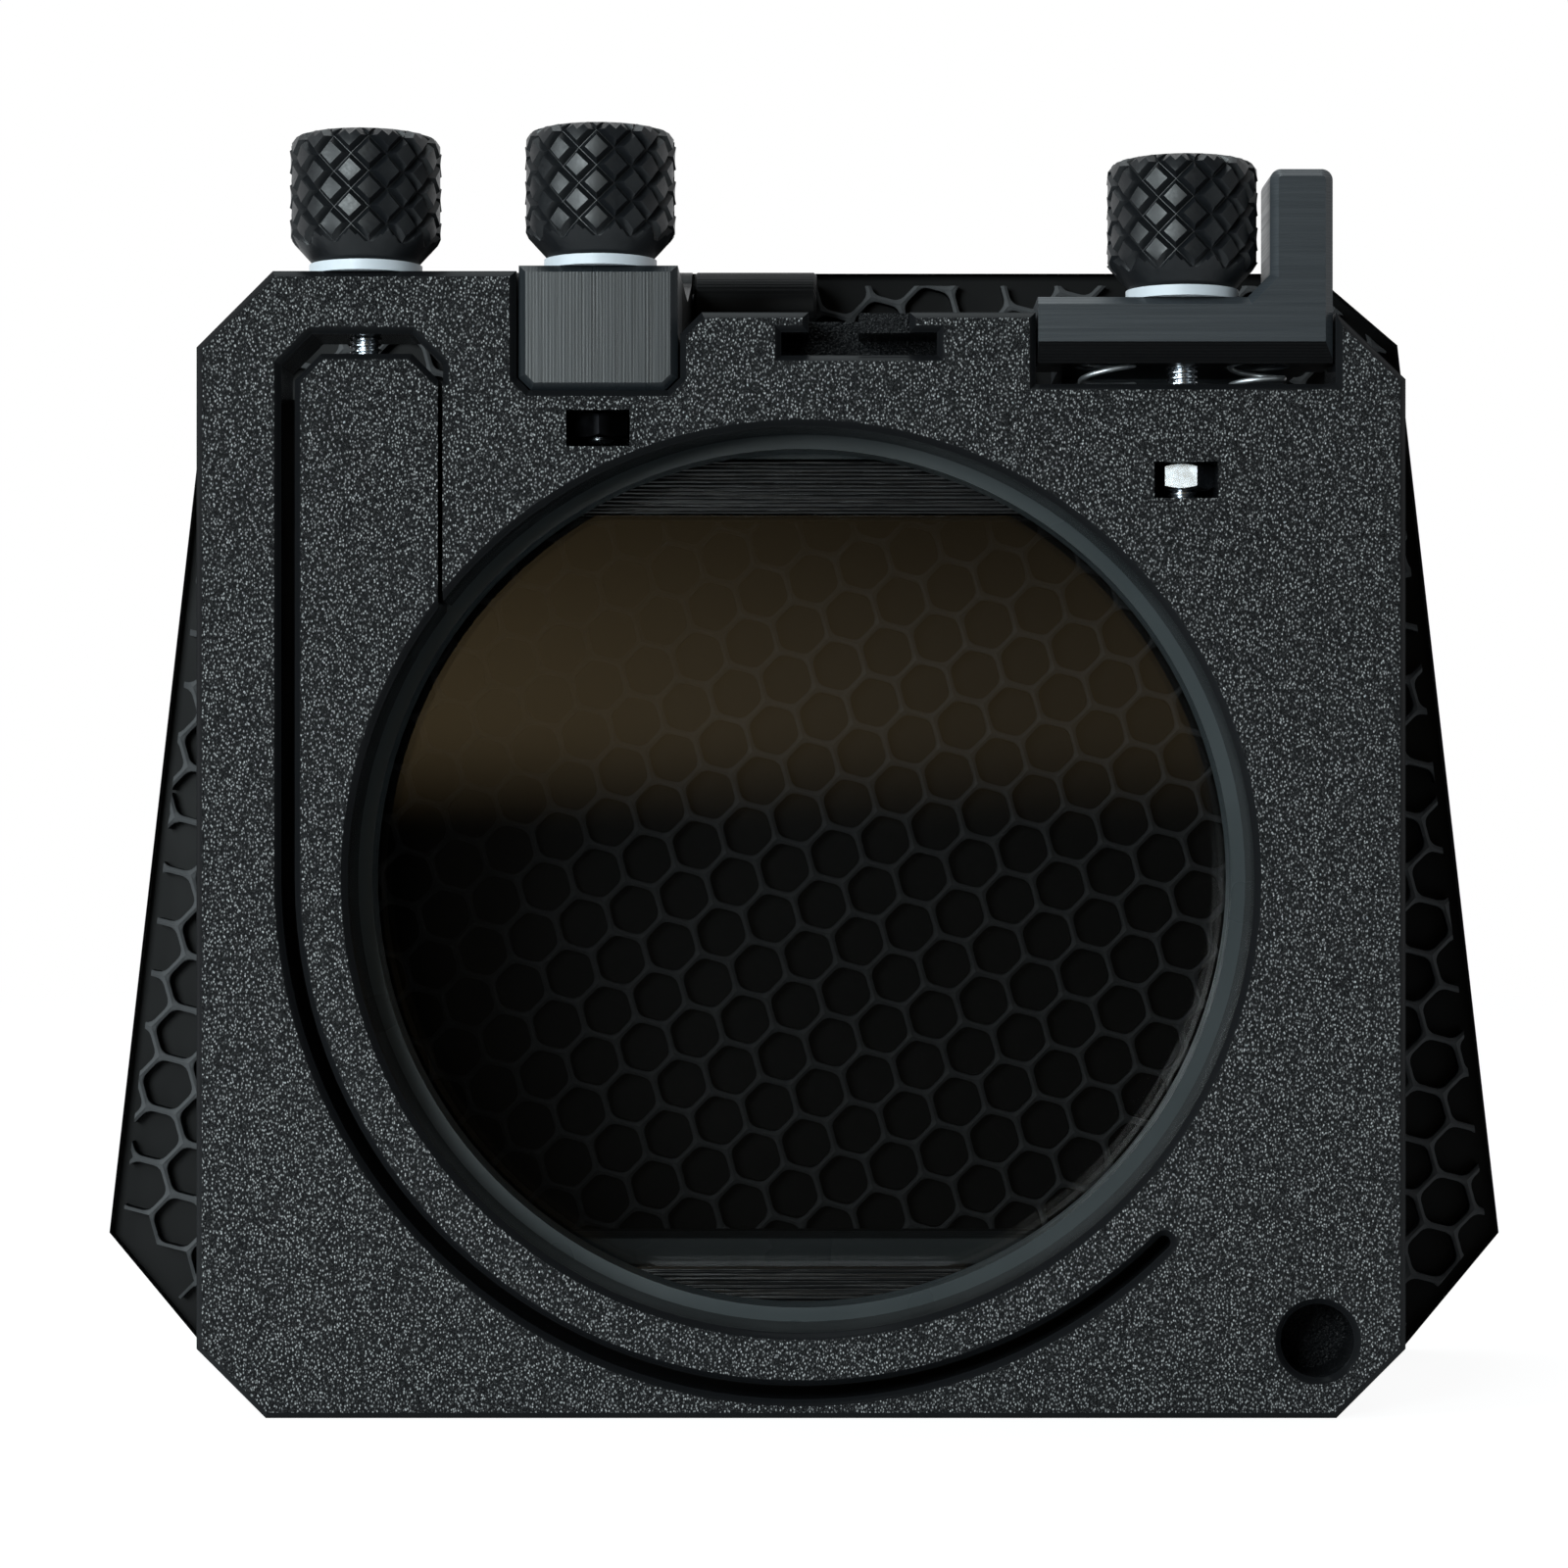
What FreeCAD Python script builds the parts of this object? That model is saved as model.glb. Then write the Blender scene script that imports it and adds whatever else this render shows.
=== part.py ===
import FreeCAD, Part
import os
import re
import Sketcher

# A clamp-on matte box: a rear plate that clamps round a lens front, a filter stage, a shade and a top flag.
# Millimetres. The origin is on the bore's axis where the lens rim seats, +Y looks out of the shade, +Z is up.
# Heights are measured from the bore's axis and depths along Y from the seat.

doc = FreeCAD.newDocument("matte_box")
V = FreeCAD.Vector
ALONG_X = FreeCAD.Rotation(V(0, 1, 0), 90)
ALONG_Y = FreeCAD.Rotation(V(1, 0, 0), -90)
UPRIGHT = FreeCAD.Rotation()

# Driving sizes

SIZES = [
    # rear plate and its outline
    ("plate_thick", 12), ("half_width", 76), ("foot_drop", 67.7), ("left_top", 76.5), ("middle_top", 71.3),
    ("foot_cut", 8.7), ("left_cut", 9.6), ("right_cut", 8.4), ("right_shoulder", 67.2), ("edge_bevel", 0.8),
    ("bore_radius", 57), ("running_gap", 0.06), ("moving_gap", 0.3), ("slot_overrun", 1),
    # flexure arm that closes the bore
    ("flex_inner", 63.65), ("flex_width", 1.7), ("flex_sweep", 135), ("arm_tip_top", 66.1),
    ("clamp_gap", 2.5), ("tip_cut", 3.3), ("slit_place", 45), ("slit_width", 0.6), ("clamp_axis", 55.3),
    ("knob_depth", 6),
    # recesses for the flag arm and the lock bracket
    ("arm_axis", 25.5), ("arm_wide", 20), ("arm_floor", 61.5), ("arm_high", 15.7), ("arm_bevel", 0.9),
    ("arm_cut", 1.6), ("arm_slack", 0.3), ("shoulder_cut", 2.7), ("lock_axis", 48.35), ("lock_wide", 37.1),
    ("lock_floor", 62.3),
    # accessory shoe, accessory hole
    ("shoe_axis", 7.3), ("shoe_wide", 19.6), ("shoe_neck", 12.7), ("shoe_lip", 2.5), ("shoe_high", 2.9),
    ("shoe_deep", 10.5), ("shoe_key", 6.4), ("shoe_key_set_back", 1.5), ("hole_place", 64.9),
    ("hole_drop", 57.95), ("hole_radius", 4.63), ("hole_deep", 10),
    # thread sizes, nuts and washers
    ("screw_radius", 2), ("nut_flats", 7), ("nut_high", 3.2), ("window_wide", 8), ("window_high", 4.6),
    ("arm_window", 54.4), ("lock_window", 47.9), ("clamp_pocket", 52), ("pocket_play", 0.15),
    ("screw_tail", 2.8), ("arm_screw_tail", 0.5), ("nut_turn", 30), ("lock_nut_turn", 52),
    ("washer_radius", 7.15), ("washer_thick", 1.3),
    # knobs
    ("knob_radius", 9.6), ("knob_high", 16.3), ("knob_foot_radius", 6.55), ("knob_cone", 3.3),
    ("knob_round", 1.8), ("knob_socket", 11),
    # lock bracket and springs
    ("lock_lift", 2.7), ("bar_high", 8.3), ("bar_set_back", 0.3), ("bar_deep", 11.4), ("bar_bevel", 1),
    ("undercut_high", 2.6), ("undercut_deep", 1.2), ("tab_round", 1.4), ("tab_wide", 7.9),
    ("tab_top", 89.4), ("tab_cut", 2.8), ("tongue_wide", 31), ("tongue_high", 3.6), ("foot_deep", 6.4),
    ("foot_wide", 29), ("lock_travel", 2.1), ("spring_spread", 9.5), ("spring_radius", 3.4),
    ("wire_radius", 0.35), ("spring_pitch", 2.5), ("spring_segment", 0.25), ("spring_well", 4),
    ("spring_cup", 2.2), ("well_gap", 0.35),
    # filter stage
    ("stage_deep", 24), ("stage_top_cut", 3), ("lip_radius", 55.2), ("lip_deep", 6.7),
    ("channel_deep", 7.6), ("channel_high", 112.6), ("channel_low", 58.1), ("side_wall", 1.8),
    ("gate_half_wide", 68.5), ("gate_half_high", 47.8), ("pull_notch_high", 34), ("pull_notch_wide", 9),
    # filter tray
    ("glass_long", 143.5), ("glass_high", 101.6), ("glass_thick", 4), ("glass_play", 0.3),
    ("glass_hold", 1.6), ("tray_back", 1.5), ("pull_reach", 2), ("pull_high", 26),
    # shade
    ("shade_deep", 24), ("shade_back", 3), ("shade_wall", 2.4), ("shade_flare", 7), ("shade_cut", 6),
    # small screws and threaded inserts
    ("small_radius", 1.5), ("small_head_radius", 2.75), ("small_head_high", 3), ("small_key", 2.5),
    ("small_key_deep", 1.6), ("insert_radius", 2.1), ("insert_long", 5.7), ("stage_screw_long", 25),
    ("shade_screw_long", 8), ("stage_top_x", 70.5), ("stage_top_z", 57.4), ("stage_low_x", 52),
    ("stage_low_z", 62.9), ("shade_screw_x", 58), ("shade_screw_z", 54.6), ("head_play", 0.25),
    # top flag and its hinge
    ("flag_low", 66.7), ("flag_rise", 0.8), ("flag_half_low", 98.1), ("flag_half_high", 83.8),
    ("flag_thick", 3.5), ("flag_skin", 0.8), ("flag_rim", 1.9), ("flag_gap", 2.5), ("flag_low_cut", 13.2),
    ("flag_low_rise", 15.9), ("flag_top_cut", 11.8), ("flag_top_drop", 10.1), ("cell_pitch", 8.4),
    ("cell_rib", 1), ("cell_turn", 15.4), ("hinge_height", 78.8), ("hinge_reach", 20),
    ("knuckle_radius", 5), ("ear_wide", 17), ("left_ear_wide", 12), ("hinge_nut_high", 4.2),
    ("hinge_head_high", 4), ("hinge_head_radius", 3.5),
]

sheet = doc.addObject("Spreadsheet::Sheet", "sizes")
for row, (word, size) in enumerate(SIZES, 1):
    sheet.set(f"A{row}", str(size))
    sheet.setAlias(f"A{row}", word)
doc.recompute()


def sized(owner, place, text):
    """Tie a property to the sheet: each plain word in the text is one of its sizes."""
    owner.setExpression(place, re.sub(r"\b[a-z]\w*\b(?!\()", lambda word: "sizes." + word.group(), text))


def place(thing, x="0", y="0", z="0", turn=UPRIGHT):
    """Put a sub-part or a primitive at a place worked out from the sheet."""
    thing.Placement = FreeCAD.Placement(V(0, 0, 0), turn)
    for axis, text in zip("xyz", (x, y, z)):
        sized(thing, "Placement.Base." + axis, text)
    return thing


# Drawing: an outline is a list of corners, a circle is its centre and radius

def draw_outline(sketch, corners):
    """Close a polygon whose every corner is tied to the sheet."""
    first = sketch.GeometryCount
    count = len(corners)
    start = [FreeCAD.Rotation(V(0, 0, 1), 360 * n / count).multVec(V(1, 0, 0)) for n in range(count)]
    for n in range(count):
        sketch.addGeometry(Part.LineSegment(start[n], start[(n + 1) % count]), False)
    for n in range(count):
        sketch.addConstraint(Sketcher.Constraint("Coincident", first + n, 2, first + (n + 1) % count, 1))
    for n, (across, up) in enumerate(corners):
        for kind, value, text in (("DistanceX", start[n].x, across), ("DistanceY", start[n].y, up)):
            tie = sketch.addConstraint(Sketcher.Constraint(kind, -1, 1, first + n, 1, value))
            sized(sketch, f"Constraints[{tie}]", text)


def draw_circle(sketch, across, up, radius):
    """Draw a circle whose centre and radius are tied to the sheet."""
    first = sketch.addGeometry(Part.Circle(V(1, 1, 0), V(0, 0, 1), 1), False)
    for kind, text in (("DistanceX", across), ("DistanceY", up)):
        tie = sketch.addConstraint(Sketcher.Constraint(kind, -1, 1, first, 3, 1))
        sized(sketch, f"Constraints[{tie}]", text)
    tie = sketch.addConstraint(Sketcher.Constraint("Radius", first, 1))
    sized(sketch, f"Constraints[{tie}]", radius)


def box_corners(left, right, low, high):
    """List the corners of a rectangle from its four sides."""
    return [(left, low), (right, low), (right, high), (left, high)]


def draw_on(body, name, plane, start, profiles):
    """Draw outlines and circles on one of the body's own planes, moved to start along its axis."""
    sketch = body.newObject("Sketcher::SketchObject", name)
    sketch.AttachmentSupport = [(origin_item(body, plane + "_Plane"), "")]
    sketch.MapMode = "FlatFace"
    sized(sketch, "AttachmentOffset.Base.z", f"-({start})" if plane == "XZ" else start)
    for profile in profiles:
        if isinstance(profile, list):
            draw_outline(sketch, profile)
        else:
            draw_circle(sketch, *profile)
    return sketch


def origin_item(body, role):
    """Find a plane or an axis of the body's own origin."""
    return next(item for item in body.Origin.OriginFeatures if item.Role == role)


def new_body(name):
    """Start a sub-part made of sketched features."""
    body = doc.addObject("PartDesign::Body", name)
    body.Label = name
    return body


def add_slab(body, name, plane, start, length, *profiles):
    """Add a slab from start, running the given length along the positive axis."""
    pad = body.newObject("PartDesign::Pad", name)
    pad.Profile = draw_on(body, name + "_outline", plane, start, profiles)
    sized(pad, "Length", length)
    pad.Reversed = plane == "XZ"
    doc.recompute()
    return pad


def cut_slab(body, name, plane, start, length, *profiles):
    """Cut a slab from start, running the given length along the positive axis."""
    before = body.Shape.Volume
    pocket = body.newObject("PartDesign::Pocket", name)
    pocket.Profile = draw_on(body, name + "_outline", plane, start, profiles)
    sized(pocket, "Length", length)
    pocket.Reversed = plane != "XZ"
    doc.recompute()
    if not body.Shape.Volume < before - 1e-6:
        raise ValueError(name + " cuts nothing")
    return pocket


def bevel(body, name, size, chosen):
    """Bevel the chosen edges or faces of the body as it stands."""
    solid = body.Tip
    feature = body.newObject("PartDesign::Chamfer", name)
    feature.Base = (solid, chosen)
    sized(feature, "Size", size)
    doc.recompute()
    return feature


def round_off(body, name, radius, chosen):
    """Round the chosen edges or faces of the body as it stands."""
    solid = body.Tip
    feature = body.newObject("PartDesign::Fillet", name)
    feature.Base = (solid, chosen)
    sized(feature, "Radius", radius)
    doc.recompute()
    return feature


def rear_faces(shape):
    """Name the flat faces that lie furthest back and look back."""
    back = shape.BoundBox.YMin
    return [f"Face{n}" for n, face in enumerate(shape.Faces, 1)
            if abs(face.BoundBox.YMin - back) < 1e-6 and face.BoundBox.YLength < 1e-6]


def number(word):
    """Read one size from the sheet."""
    return float(sheet.get(word))


# Places that several pieces share

STAGE_SCREWS = [("-stage_top_x", "stage_top_z"), ("stage_top_x", "stage_top_z"),
                ("-stage_low_x", "-stage_low_z"), ("stage_low_x", "-stage_low_z")]
SHADE_SCREWS = [("-shade_screw_x", "shade_screw_z"), ("shade_screw_x", "shade_screw_z"),
                ("-shade_screw_x", "-shade_screw_z"), ("shade_screw_x", "-shade_screw_z")]
STAGE_HEAD = "stage_deep - small_head_high - head_play"
TONGUE_END = "lip_deep + channel_deep - moving_gap"
TRAY_LEFT = "side_wall + moving_gap - half_width"
TRAY_MIDDLE = "(side_wall + moving_gap) / 2"
GLASS_LOW = "(channel_high / 2 - channel_low - glass_high / 2)"
HINGE_END = "(arm_wide / 2 - arm_axis + moving_gap + ear_wide - pocket_play)"
HINGE_NUT_START = HINGE_END + " - hinge_nut_high"


# Rear plate: one printed piece with the clamp's spring arm, the shoe and all the windows

def make_rear_plate():
    body = new_body("rear_plate")
    back = "-plate_thick"
    through = "plate_thick"
    arm_left, arm_right = "-arm_axis - arm_wide / 2 - arm_slack", "arm_wide / 2 + arm_slack - arm_axis"
    lock_left = "lock_axis - lock_wide / 2 - moving_gap"
    add_slab(body, "plate", "XZ", back, through, [
        ("foot_cut - half_width", "-foot_drop"), ("half_width - foot_cut", "-foot_drop"),
        ("half_width", "foot_cut - foot_drop"), ("half_width", "middle_top - right_cut"),
        ("right_shoulder", "middle_top"), ("right_shoulder", "lock_floor"), (lock_left, "lock_floor"),
        (lock_left, "middle_top"), (arm_right + " + shoulder_cut", "middle_top"),
        (arm_right, "middle_top - shoulder_cut"), (arm_right, "arm_floor + arm_cut"),
        (arm_right + " - arm_cut", "arm_floor"), (arm_left + " + arm_cut", "arm_floor"),
        (arm_left, "arm_floor + arm_cut"), (arm_left, "left_top"), ("left_cut - half_width", "left_top"),
        ("-half_width", "left_top - left_cut"), ("-half_width", "foot_cut - foot_drop")])
    cut_slab(body, "bore", "XZ", back, through, ("0", "0", "bore_radius"))
    cut_flexure(body, back, through)
    cut_shoe(body, back)
    cut_slab(body, "accessory_hole", "XZ", back, "hole_deep", ("hole_place", "-hole_drop", "hole_radius"))
    bevel(body, "rear_bevel", "edge_bevel", rear_faces(body.Shape))
    cut_slit(body, back, through)
    for name, axis, low in (("arm", "-arm_axis", "arm_window"), ("lock", "lock_axis", "lock_window")):
        cut_slab(body, name + "_nut_window", "XZ", back, "knob_depth + window_wide / 2 + pocket_play",
                 box_corners(f"{axis} - window_wide / 2", f"{axis} + window_wide / 2", low,
                             low + " + window_high"))
    cut_knob_holes(body)
    cut_slab(body, "stage_insert_holes", "XZ", "-insert_long", "insert_long",
             *[(x, z, "insert_radius") for x, z in STAGE_SCREWS])


def cut_flexure(body, back, through):
    """Free the spring arm: a slot round the bore, a gap over its tip and a slit into the bore."""
    turned = body.newObject("PartDesign::Groove", "flexure_arc")
    turned.Profile = draw_on(body, "flexure_arc_section", "XY", "0", [box_corners(
        "-flex_inner - flex_width", "-flex_inner", back + " - slot_overrun", "slot_overrun")])
    turned.ReferenceAxis = (origin_item(body, "Y_Axis"), [""])
    sized(turned, "Angle", "flex_sweep")
    turned.Reversed = True
    doc.recompute()
    middle = "(flex_inner + flex_width / 2)"
    cut_slab(body, "flexure_end", "XZ", back, through,
             (f"-{middle} * cos(flex_sweep)", f"-{middle} * sin(flex_sweep)", "flex_width / 2"))
    inner, outer = "-flex_inner", "-flex_inner - flex_width"
    roof = "arm_tip_top + clamp_gap"
    slit_left = "-slit_place - slit_width"
    cut_slab(body, "clamp_gap_cut", "XZ", back, through, [
        (outer, "0"), (inner, "0"), (inner, "arm_tip_top - tip_cut"), (inner + " + tip_cut", "arm_tip_top"),
        (slit_left + " - tip_cut", "arm_tip_top"), (slit_left, "arm_tip_top - tip_cut"),
        ("-slit_place", "arm_tip_top - tip_cut"), ("-slit_place", roof + " - tip_cut - slit_width"),
        ("-slit_place - tip_cut - slit_width", roof), (outer + " + tip_cut + slit_width", roof),
        (outer, roof + " - tip_cut - slit_width")])


def cut_slit(body, back, through):
    """Cut the thin slit from the gap down into the bore."""
    cut_slab(body, "slit", "XZ", back, through, box_corners(
        "-slit_place - slit_width", "-slit_place", "bore_radius / 2", "arm_tip_top - tip_cut"))


def cut_shoe(body, back):
    """Cut the accessory shoe's T slot and leave its half-width key."""
    neck_low = "middle_top - shoe_lip"
    cut_slab(body, "shoe_slot", "XZ", back, "shoe_deep", [
        ("shoe_axis - shoe_wide / 2", neck_low + " - shoe_high"),
        ("shoe_axis + shoe_wide / 2", neck_low + " - shoe_high"), ("shoe_axis + shoe_wide / 2", neck_low),
        ("shoe_axis + shoe_neck / 2", neck_low), ("shoe_axis + shoe_neck / 2", "middle_top + slot_overrun"),
        ("shoe_axis - shoe_neck / 2", "middle_top + slot_overrun"), ("shoe_axis - shoe_neck / 2", neck_low),
        ("shoe_axis - shoe_wide / 2", neck_low)])
    key_right = "shoe_axis + shoe_neck / 2"
    add_slab(body, "shoe_key", "XZ", back + " + shoe_key_set_back", "shoe_deep - shoe_key_set_back",
             box_corners(key_right + " - shoe_key", key_right, neck_low, "middle_top"))


def cut_knob_holes(body):
    """Drill the three knob screws' holes, the clamp nut's pocket and the wells of the lock springs."""
    hole = "screw_radius + running_gap"
    depth = "-knob_depth"
    pocket_roof = "clamp_pocket + window_high"
    cut_slab(body, "clamp_nut_pocket", "XZ", "-knob_depth - window_wide / 2", "knob_depth + window_wide / 2",
             box_corners("-clamp_axis - window_wide / 2", "window_wide / 2 - clamp_axis", "clamp_pocket",
                         pocket_roof))
    tail = "nut_high + screw_tail + lock_travel + slot_overrun"
    for name, axis, roof, top in (("clamp", "-clamp_axis", pocket_roof, "left_top"),
                                  ("arm", "-arm_axis", "arm_window + window_high", "arm_floor"),
                                  ("lock", "lock_axis", "lock_window + window_high", "lock_floor")):
        deep = "nut_high + slot_overrun" if name == "arm" else tail
        cut_slab(body, name + "_screw_hole", "XY", f"{roof} - ({deep})", f"{top} - ({roof}) + {deep}",
                 (axis, depth, hole))
    cut_slab(body, "spring_wells", "XY", "lock_floor - spring_well", "spring_well",
             *[(f"lock_axis {side} spring_spread", depth, "spring_radius + wire_radius + well_gap")
               for side in "-+"])


# Filter stage: the lip that the lens rim seats on, the tray's channel and the gate in front of it

def make_stage_housing():
    body = new_body("stage_housing")
    channel_top = "channel_high - channel_low"
    add_slab(body, "block", "XZ", "0", "stage_deep", [
        ("foot_cut - half_width", "-foot_drop"), ("half_width - foot_cut", "-foot_drop"),
        ("half_width", "foot_cut - foot_drop"), ("half_width", "arm_floor - stage_top_cut"),
        ("half_width - stage_top_cut", "arm_floor"), ("stage_top_cut - half_width", "arm_floor"),
        ("-half_width", "arm_floor - stage_top_cut"), ("-half_width", "foot_cut - foot_drop")])
    cut_slab(body, "lip_bore", "XZ", "0", "lip_deep", ("0", "0", "lip_radius"))
    cut_slab(body, "channel", "XZ", "lip_deep", "channel_deep",
             box_corners("side_wall - half_width", "half_width + slot_overrun", "-channel_low", channel_top))
    cut_slab(body, "gate", "XZ", "lip_deep + channel_deep", "stage_deep - lip_deep - channel_deep",
             box_corners("-gate_half_wide", "gate_half_wide", "-gate_half_high", "gate_half_high"))
    cut_slab(body, "pull_notch", "XZ", "0", "stage_deep", box_corners(
        "half_width - pull_notch_wide / 2", "half_width + slot_overrun", "-pull_notch_high / 2",
        "pull_notch_high / 2"))
    cut_slab(body, "lock_window", "XY", channel_top, "arm_floor - channel_high + channel_low", box_corners(
        "lock_axis - foot_wide / 2 - moving_gap", "lock_axis + foot_wide / 2 + moving_gap",
        f"{TONGUE_END} - foot_deep - moving_gap", f"{TONGUE_END} + moving_gap"))
    cut_slab(body, "stage_screw_holes", "XZ", "0", "stage_deep",
             *[(x, z, "small_radius + running_gap") for x, z in STAGE_SCREWS])
    cut_slab(body, "stage_head_wells", "XZ", STAGE_HEAD, "small_head_high + head_play",
             *[(x, z, "small_head_radius + head_play") for x, z in STAGE_SCREWS])
    cut_slab(body, "shade_insert_holes", "XZ", "stage_deep - insert_long", "insert_long",
             *[(x, z, "insert_radius") for x, z in SHADE_SCREWS])


# Shade: a flared box with a back wall that is screwed to the stage

def shade_outline(flare, wall):
    """List the corners of the shade's section, drawn in by a wall."""
    side = f"half_width + {flare} - {wall}"
    top, low = f"arm_floor - {wall}", f"{wall} - foot_drop"
    return [(f"shade_cut - ({side})", low), (f"{side} - shade_cut", low), (side, f"{low} + shade_cut"),
            (side, f"{top} - shade_cut"), (f"{side} - shade_cut", top), (f"shade_cut - ({side})", top),
            (f"-({side})", f"{top} - shade_cut"), (f"-({side})", f"{low} + shade_cut")]


def loft(body, kind, name, start, end, first, last):
    """Blend from one outline to another along the depth."""
    feature = body.newObject("PartDesign::" + kind, name)
    feature.Profile = draw_on(body, name + "_rear", "XZ", start, [first])
    feature.Sections = [draw_on(body, name + "_front", "XZ", end, [last])]
    doc.recompute()


def make_shade_hood():
    body = new_body("shade_hood")
    end = "stage_deep + shade_deep"
    loft(body, "AdditiveLoft", "shell", "stage_deep", end, shade_outline("0", "0"),
         shade_outline("shade_flare", "0"))
    slope = "shade_flare * shade_back / shade_deep"
    loft(body, "SubtractiveLoft", "inside", "stage_deep + shade_back", end,
         shade_outline(slope, "shade_wall"),
         shade_outline("shade_flare", "shade_wall"))
    cut_slab(body, "gate", "XZ", "stage_deep", "shade_back",
             box_corners("-gate_half_wide", "gate_half_wide", "-gate_half_high", "gate_half_high"))
    cut_slab(body, "screw_holes", "XZ", "stage_deep", "shade_back",
             *[(x, z, "small_radius + running_gap") for x, z in SHADE_SCREWS])


# Small screws and inserts, as groups of like pieces

def cylinder(name, radius, length, x, y, z, turn):
    """Make a cylinder that starts at a place and runs along its turned axis."""
    piece = doc.addObject("Part::Cylinder", name)
    sized(piece, "Radius", radius)
    sized(piece, "Height", length)
    return place(piece, x, y, z, turn)


def cut_from(name, base, tool):
    piece = doc.addObject("Part::Cut", name)
    piece.Base = base
    piece.Tool = tool
    return piece


def fuse(name, shapes):
    piece = doc.addObject("Part::MultiFuse", name)
    piece.Shapes = shapes
    return piece


def hex_bar(name, flats, length, x, y, z, turn):
    """Make a hexagonal bar, such as a nut or the inside of a socket."""
    piece = doc.addObject("Part::Prism", name)
    piece.Polygon = 6
    sized(piece, "Circumradius", f"{flats} / 2 / cos(30)")
    sized(piece, "Height", length)
    return place(piece, x, y, z, turn)


def group(name, pieces):
    """Keep like pieces together as one sub-part of separate solids."""
    whole = doc.addObject("Part::Compound", name)
    whole.Label = name
    whole.Links = pieces
    return whole


def small_screw(name, x, z, head_y, length):
    """Make a socket-head screw whose head stands forward of head_y and whose shank runs back."""
    shank = cylinder(name + "_shank", "small_radius", f"{length}", x, f"{head_y} - {length}", z, ALONG_Y)
    head = cylinder(name + "_head", "small_head_radius", "small_head_high", x, head_y, z, ALONG_Y)
    socket = hex_bar(name + "_socket", "small_key", "small_key_deep", x,
                     f"{head_y} + small_head_high - small_key_deep", z, ALONG_Y)
    return cut_from(name, fuse(name + "_blank", [shank, head]), socket)


def small_insert(name, x, z, front):
    """Make a threaded insert that ends flush with the face at front."""
    outside = cylinder(name + "_outside", "insert_radius", "insert_long", x, f"{front} - insert_long", z,
                       ALONG_Y)
    inside = cylinder(name + "_inside", "small_radius + running_gap", "insert_long", x,
                      f"{front} - insert_long", z, ALONG_Y)
    return cut_from(name, outside, inside)


def make_small_fasteners():
    for group_name, places, head, length in (
            ("stage_screws", STAGE_SCREWS, STAGE_HEAD, "stage_screw_long"),
            ("shade_screws", SHADE_SCREWS, "stage_deep + shade_back", "shade_screw_long")):
        group(group_name, [small_screw(f"{group_name}_{n}", x, z, head, length)
                           for n, (x, z) in enumerate(places, 1)])
    for group_name, places, front in (("stage_inserts", STAGE_SCREWS, "0"),
                                      ("shade_inserts", SHADE_SCREWS, "stage_deep")):
        group(group_name, [small_insert(f"{group_name}_{n}", x, z, front)
                           for n, (x, z) in enumerate(places, 1)])


# Knob, screw, washer and nut of each of the three clamps

def make_knob_set(name, axis, nut_roof, seat, turned):
    """Make one thumb knob with its washer on the seat and its nut drawn up under nut_roof."""
    depth = "-knob_depth"
    base = f"{seat} + washer_thick"
    past_nut = "arm_screw_tail" if name == "arm" else "screw_tail"
    tail = f"{nut_roof} - nut_high - {past_nut}"
    screw = cylinder(name + "_screw", "screw_radius", f"{base} + knob_socket - ({tail})", axis, depth, tail,
                     UPRIGHT)
    screw.Label = name + "_screw"
    disc = cylinder(name + "_washer_disc", "washer_radius", "washer_thick", axis, depth, seat, UPRIGHT)
    eye = cylinder(name + "_washer_eye", "screw_radius + running_gap", "washer_thick", axis, depth, seat,
                   UPRIGHT)
    cut_from(name + "_washer", disc, eye)
    turn = FreeCAD.Rotation(V(0, 0, 1), number(turned))
    blank = hex_bar(name + "_nut_blank", "nut_flats", "nut_high", axis, depth, f"{nut_roof} - nut_high", turn)
    thread = cylinder(name + "_nut_thread", "screw_radius + running_gap", "nut_high", axis, depth,
                      f"{nut_roof} - nut_high", UPRIGHT)
    cut_from(name + "_nut", blank, thread)
    knob = new_body(name + "_knob")
    profile = knob.newObject("PartDesign::Revolution", name + "_knob_turning")
    profile.Profile = draw_on(knob, name + "_knob_section", "XZ", "0", [[
        ("screw_radius + running_gap", "0"), ("knob_foot_radius", "0"), ("knob_radius", "knob_cone"),
        ("knob_radius", "knob_high"), ("0", "knob_high"), ("0", "knob_socket + running_gap"),
        ("screw_radius + running_gap", "knob_socket + running_gap")]])
    profile.ReferenceAxis = (origin_item(knob, "Z_Axis"), [""])
    doc.recompute()
    crown = next(f"Face{n}" for n, face in enumerate(knob.Shape.Faces, 1)
                 if abs(face.BoundBox.ZMin - knob.Shape.BoundBox.ZMax) < 1e-6)
    round_off(knob, name + "_knob_crown", "knob_round", [crown])
    place(knob, axis, depth, base)


# Lock bracket: an L-shaped bar whose foot presses on the filter tray

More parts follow.
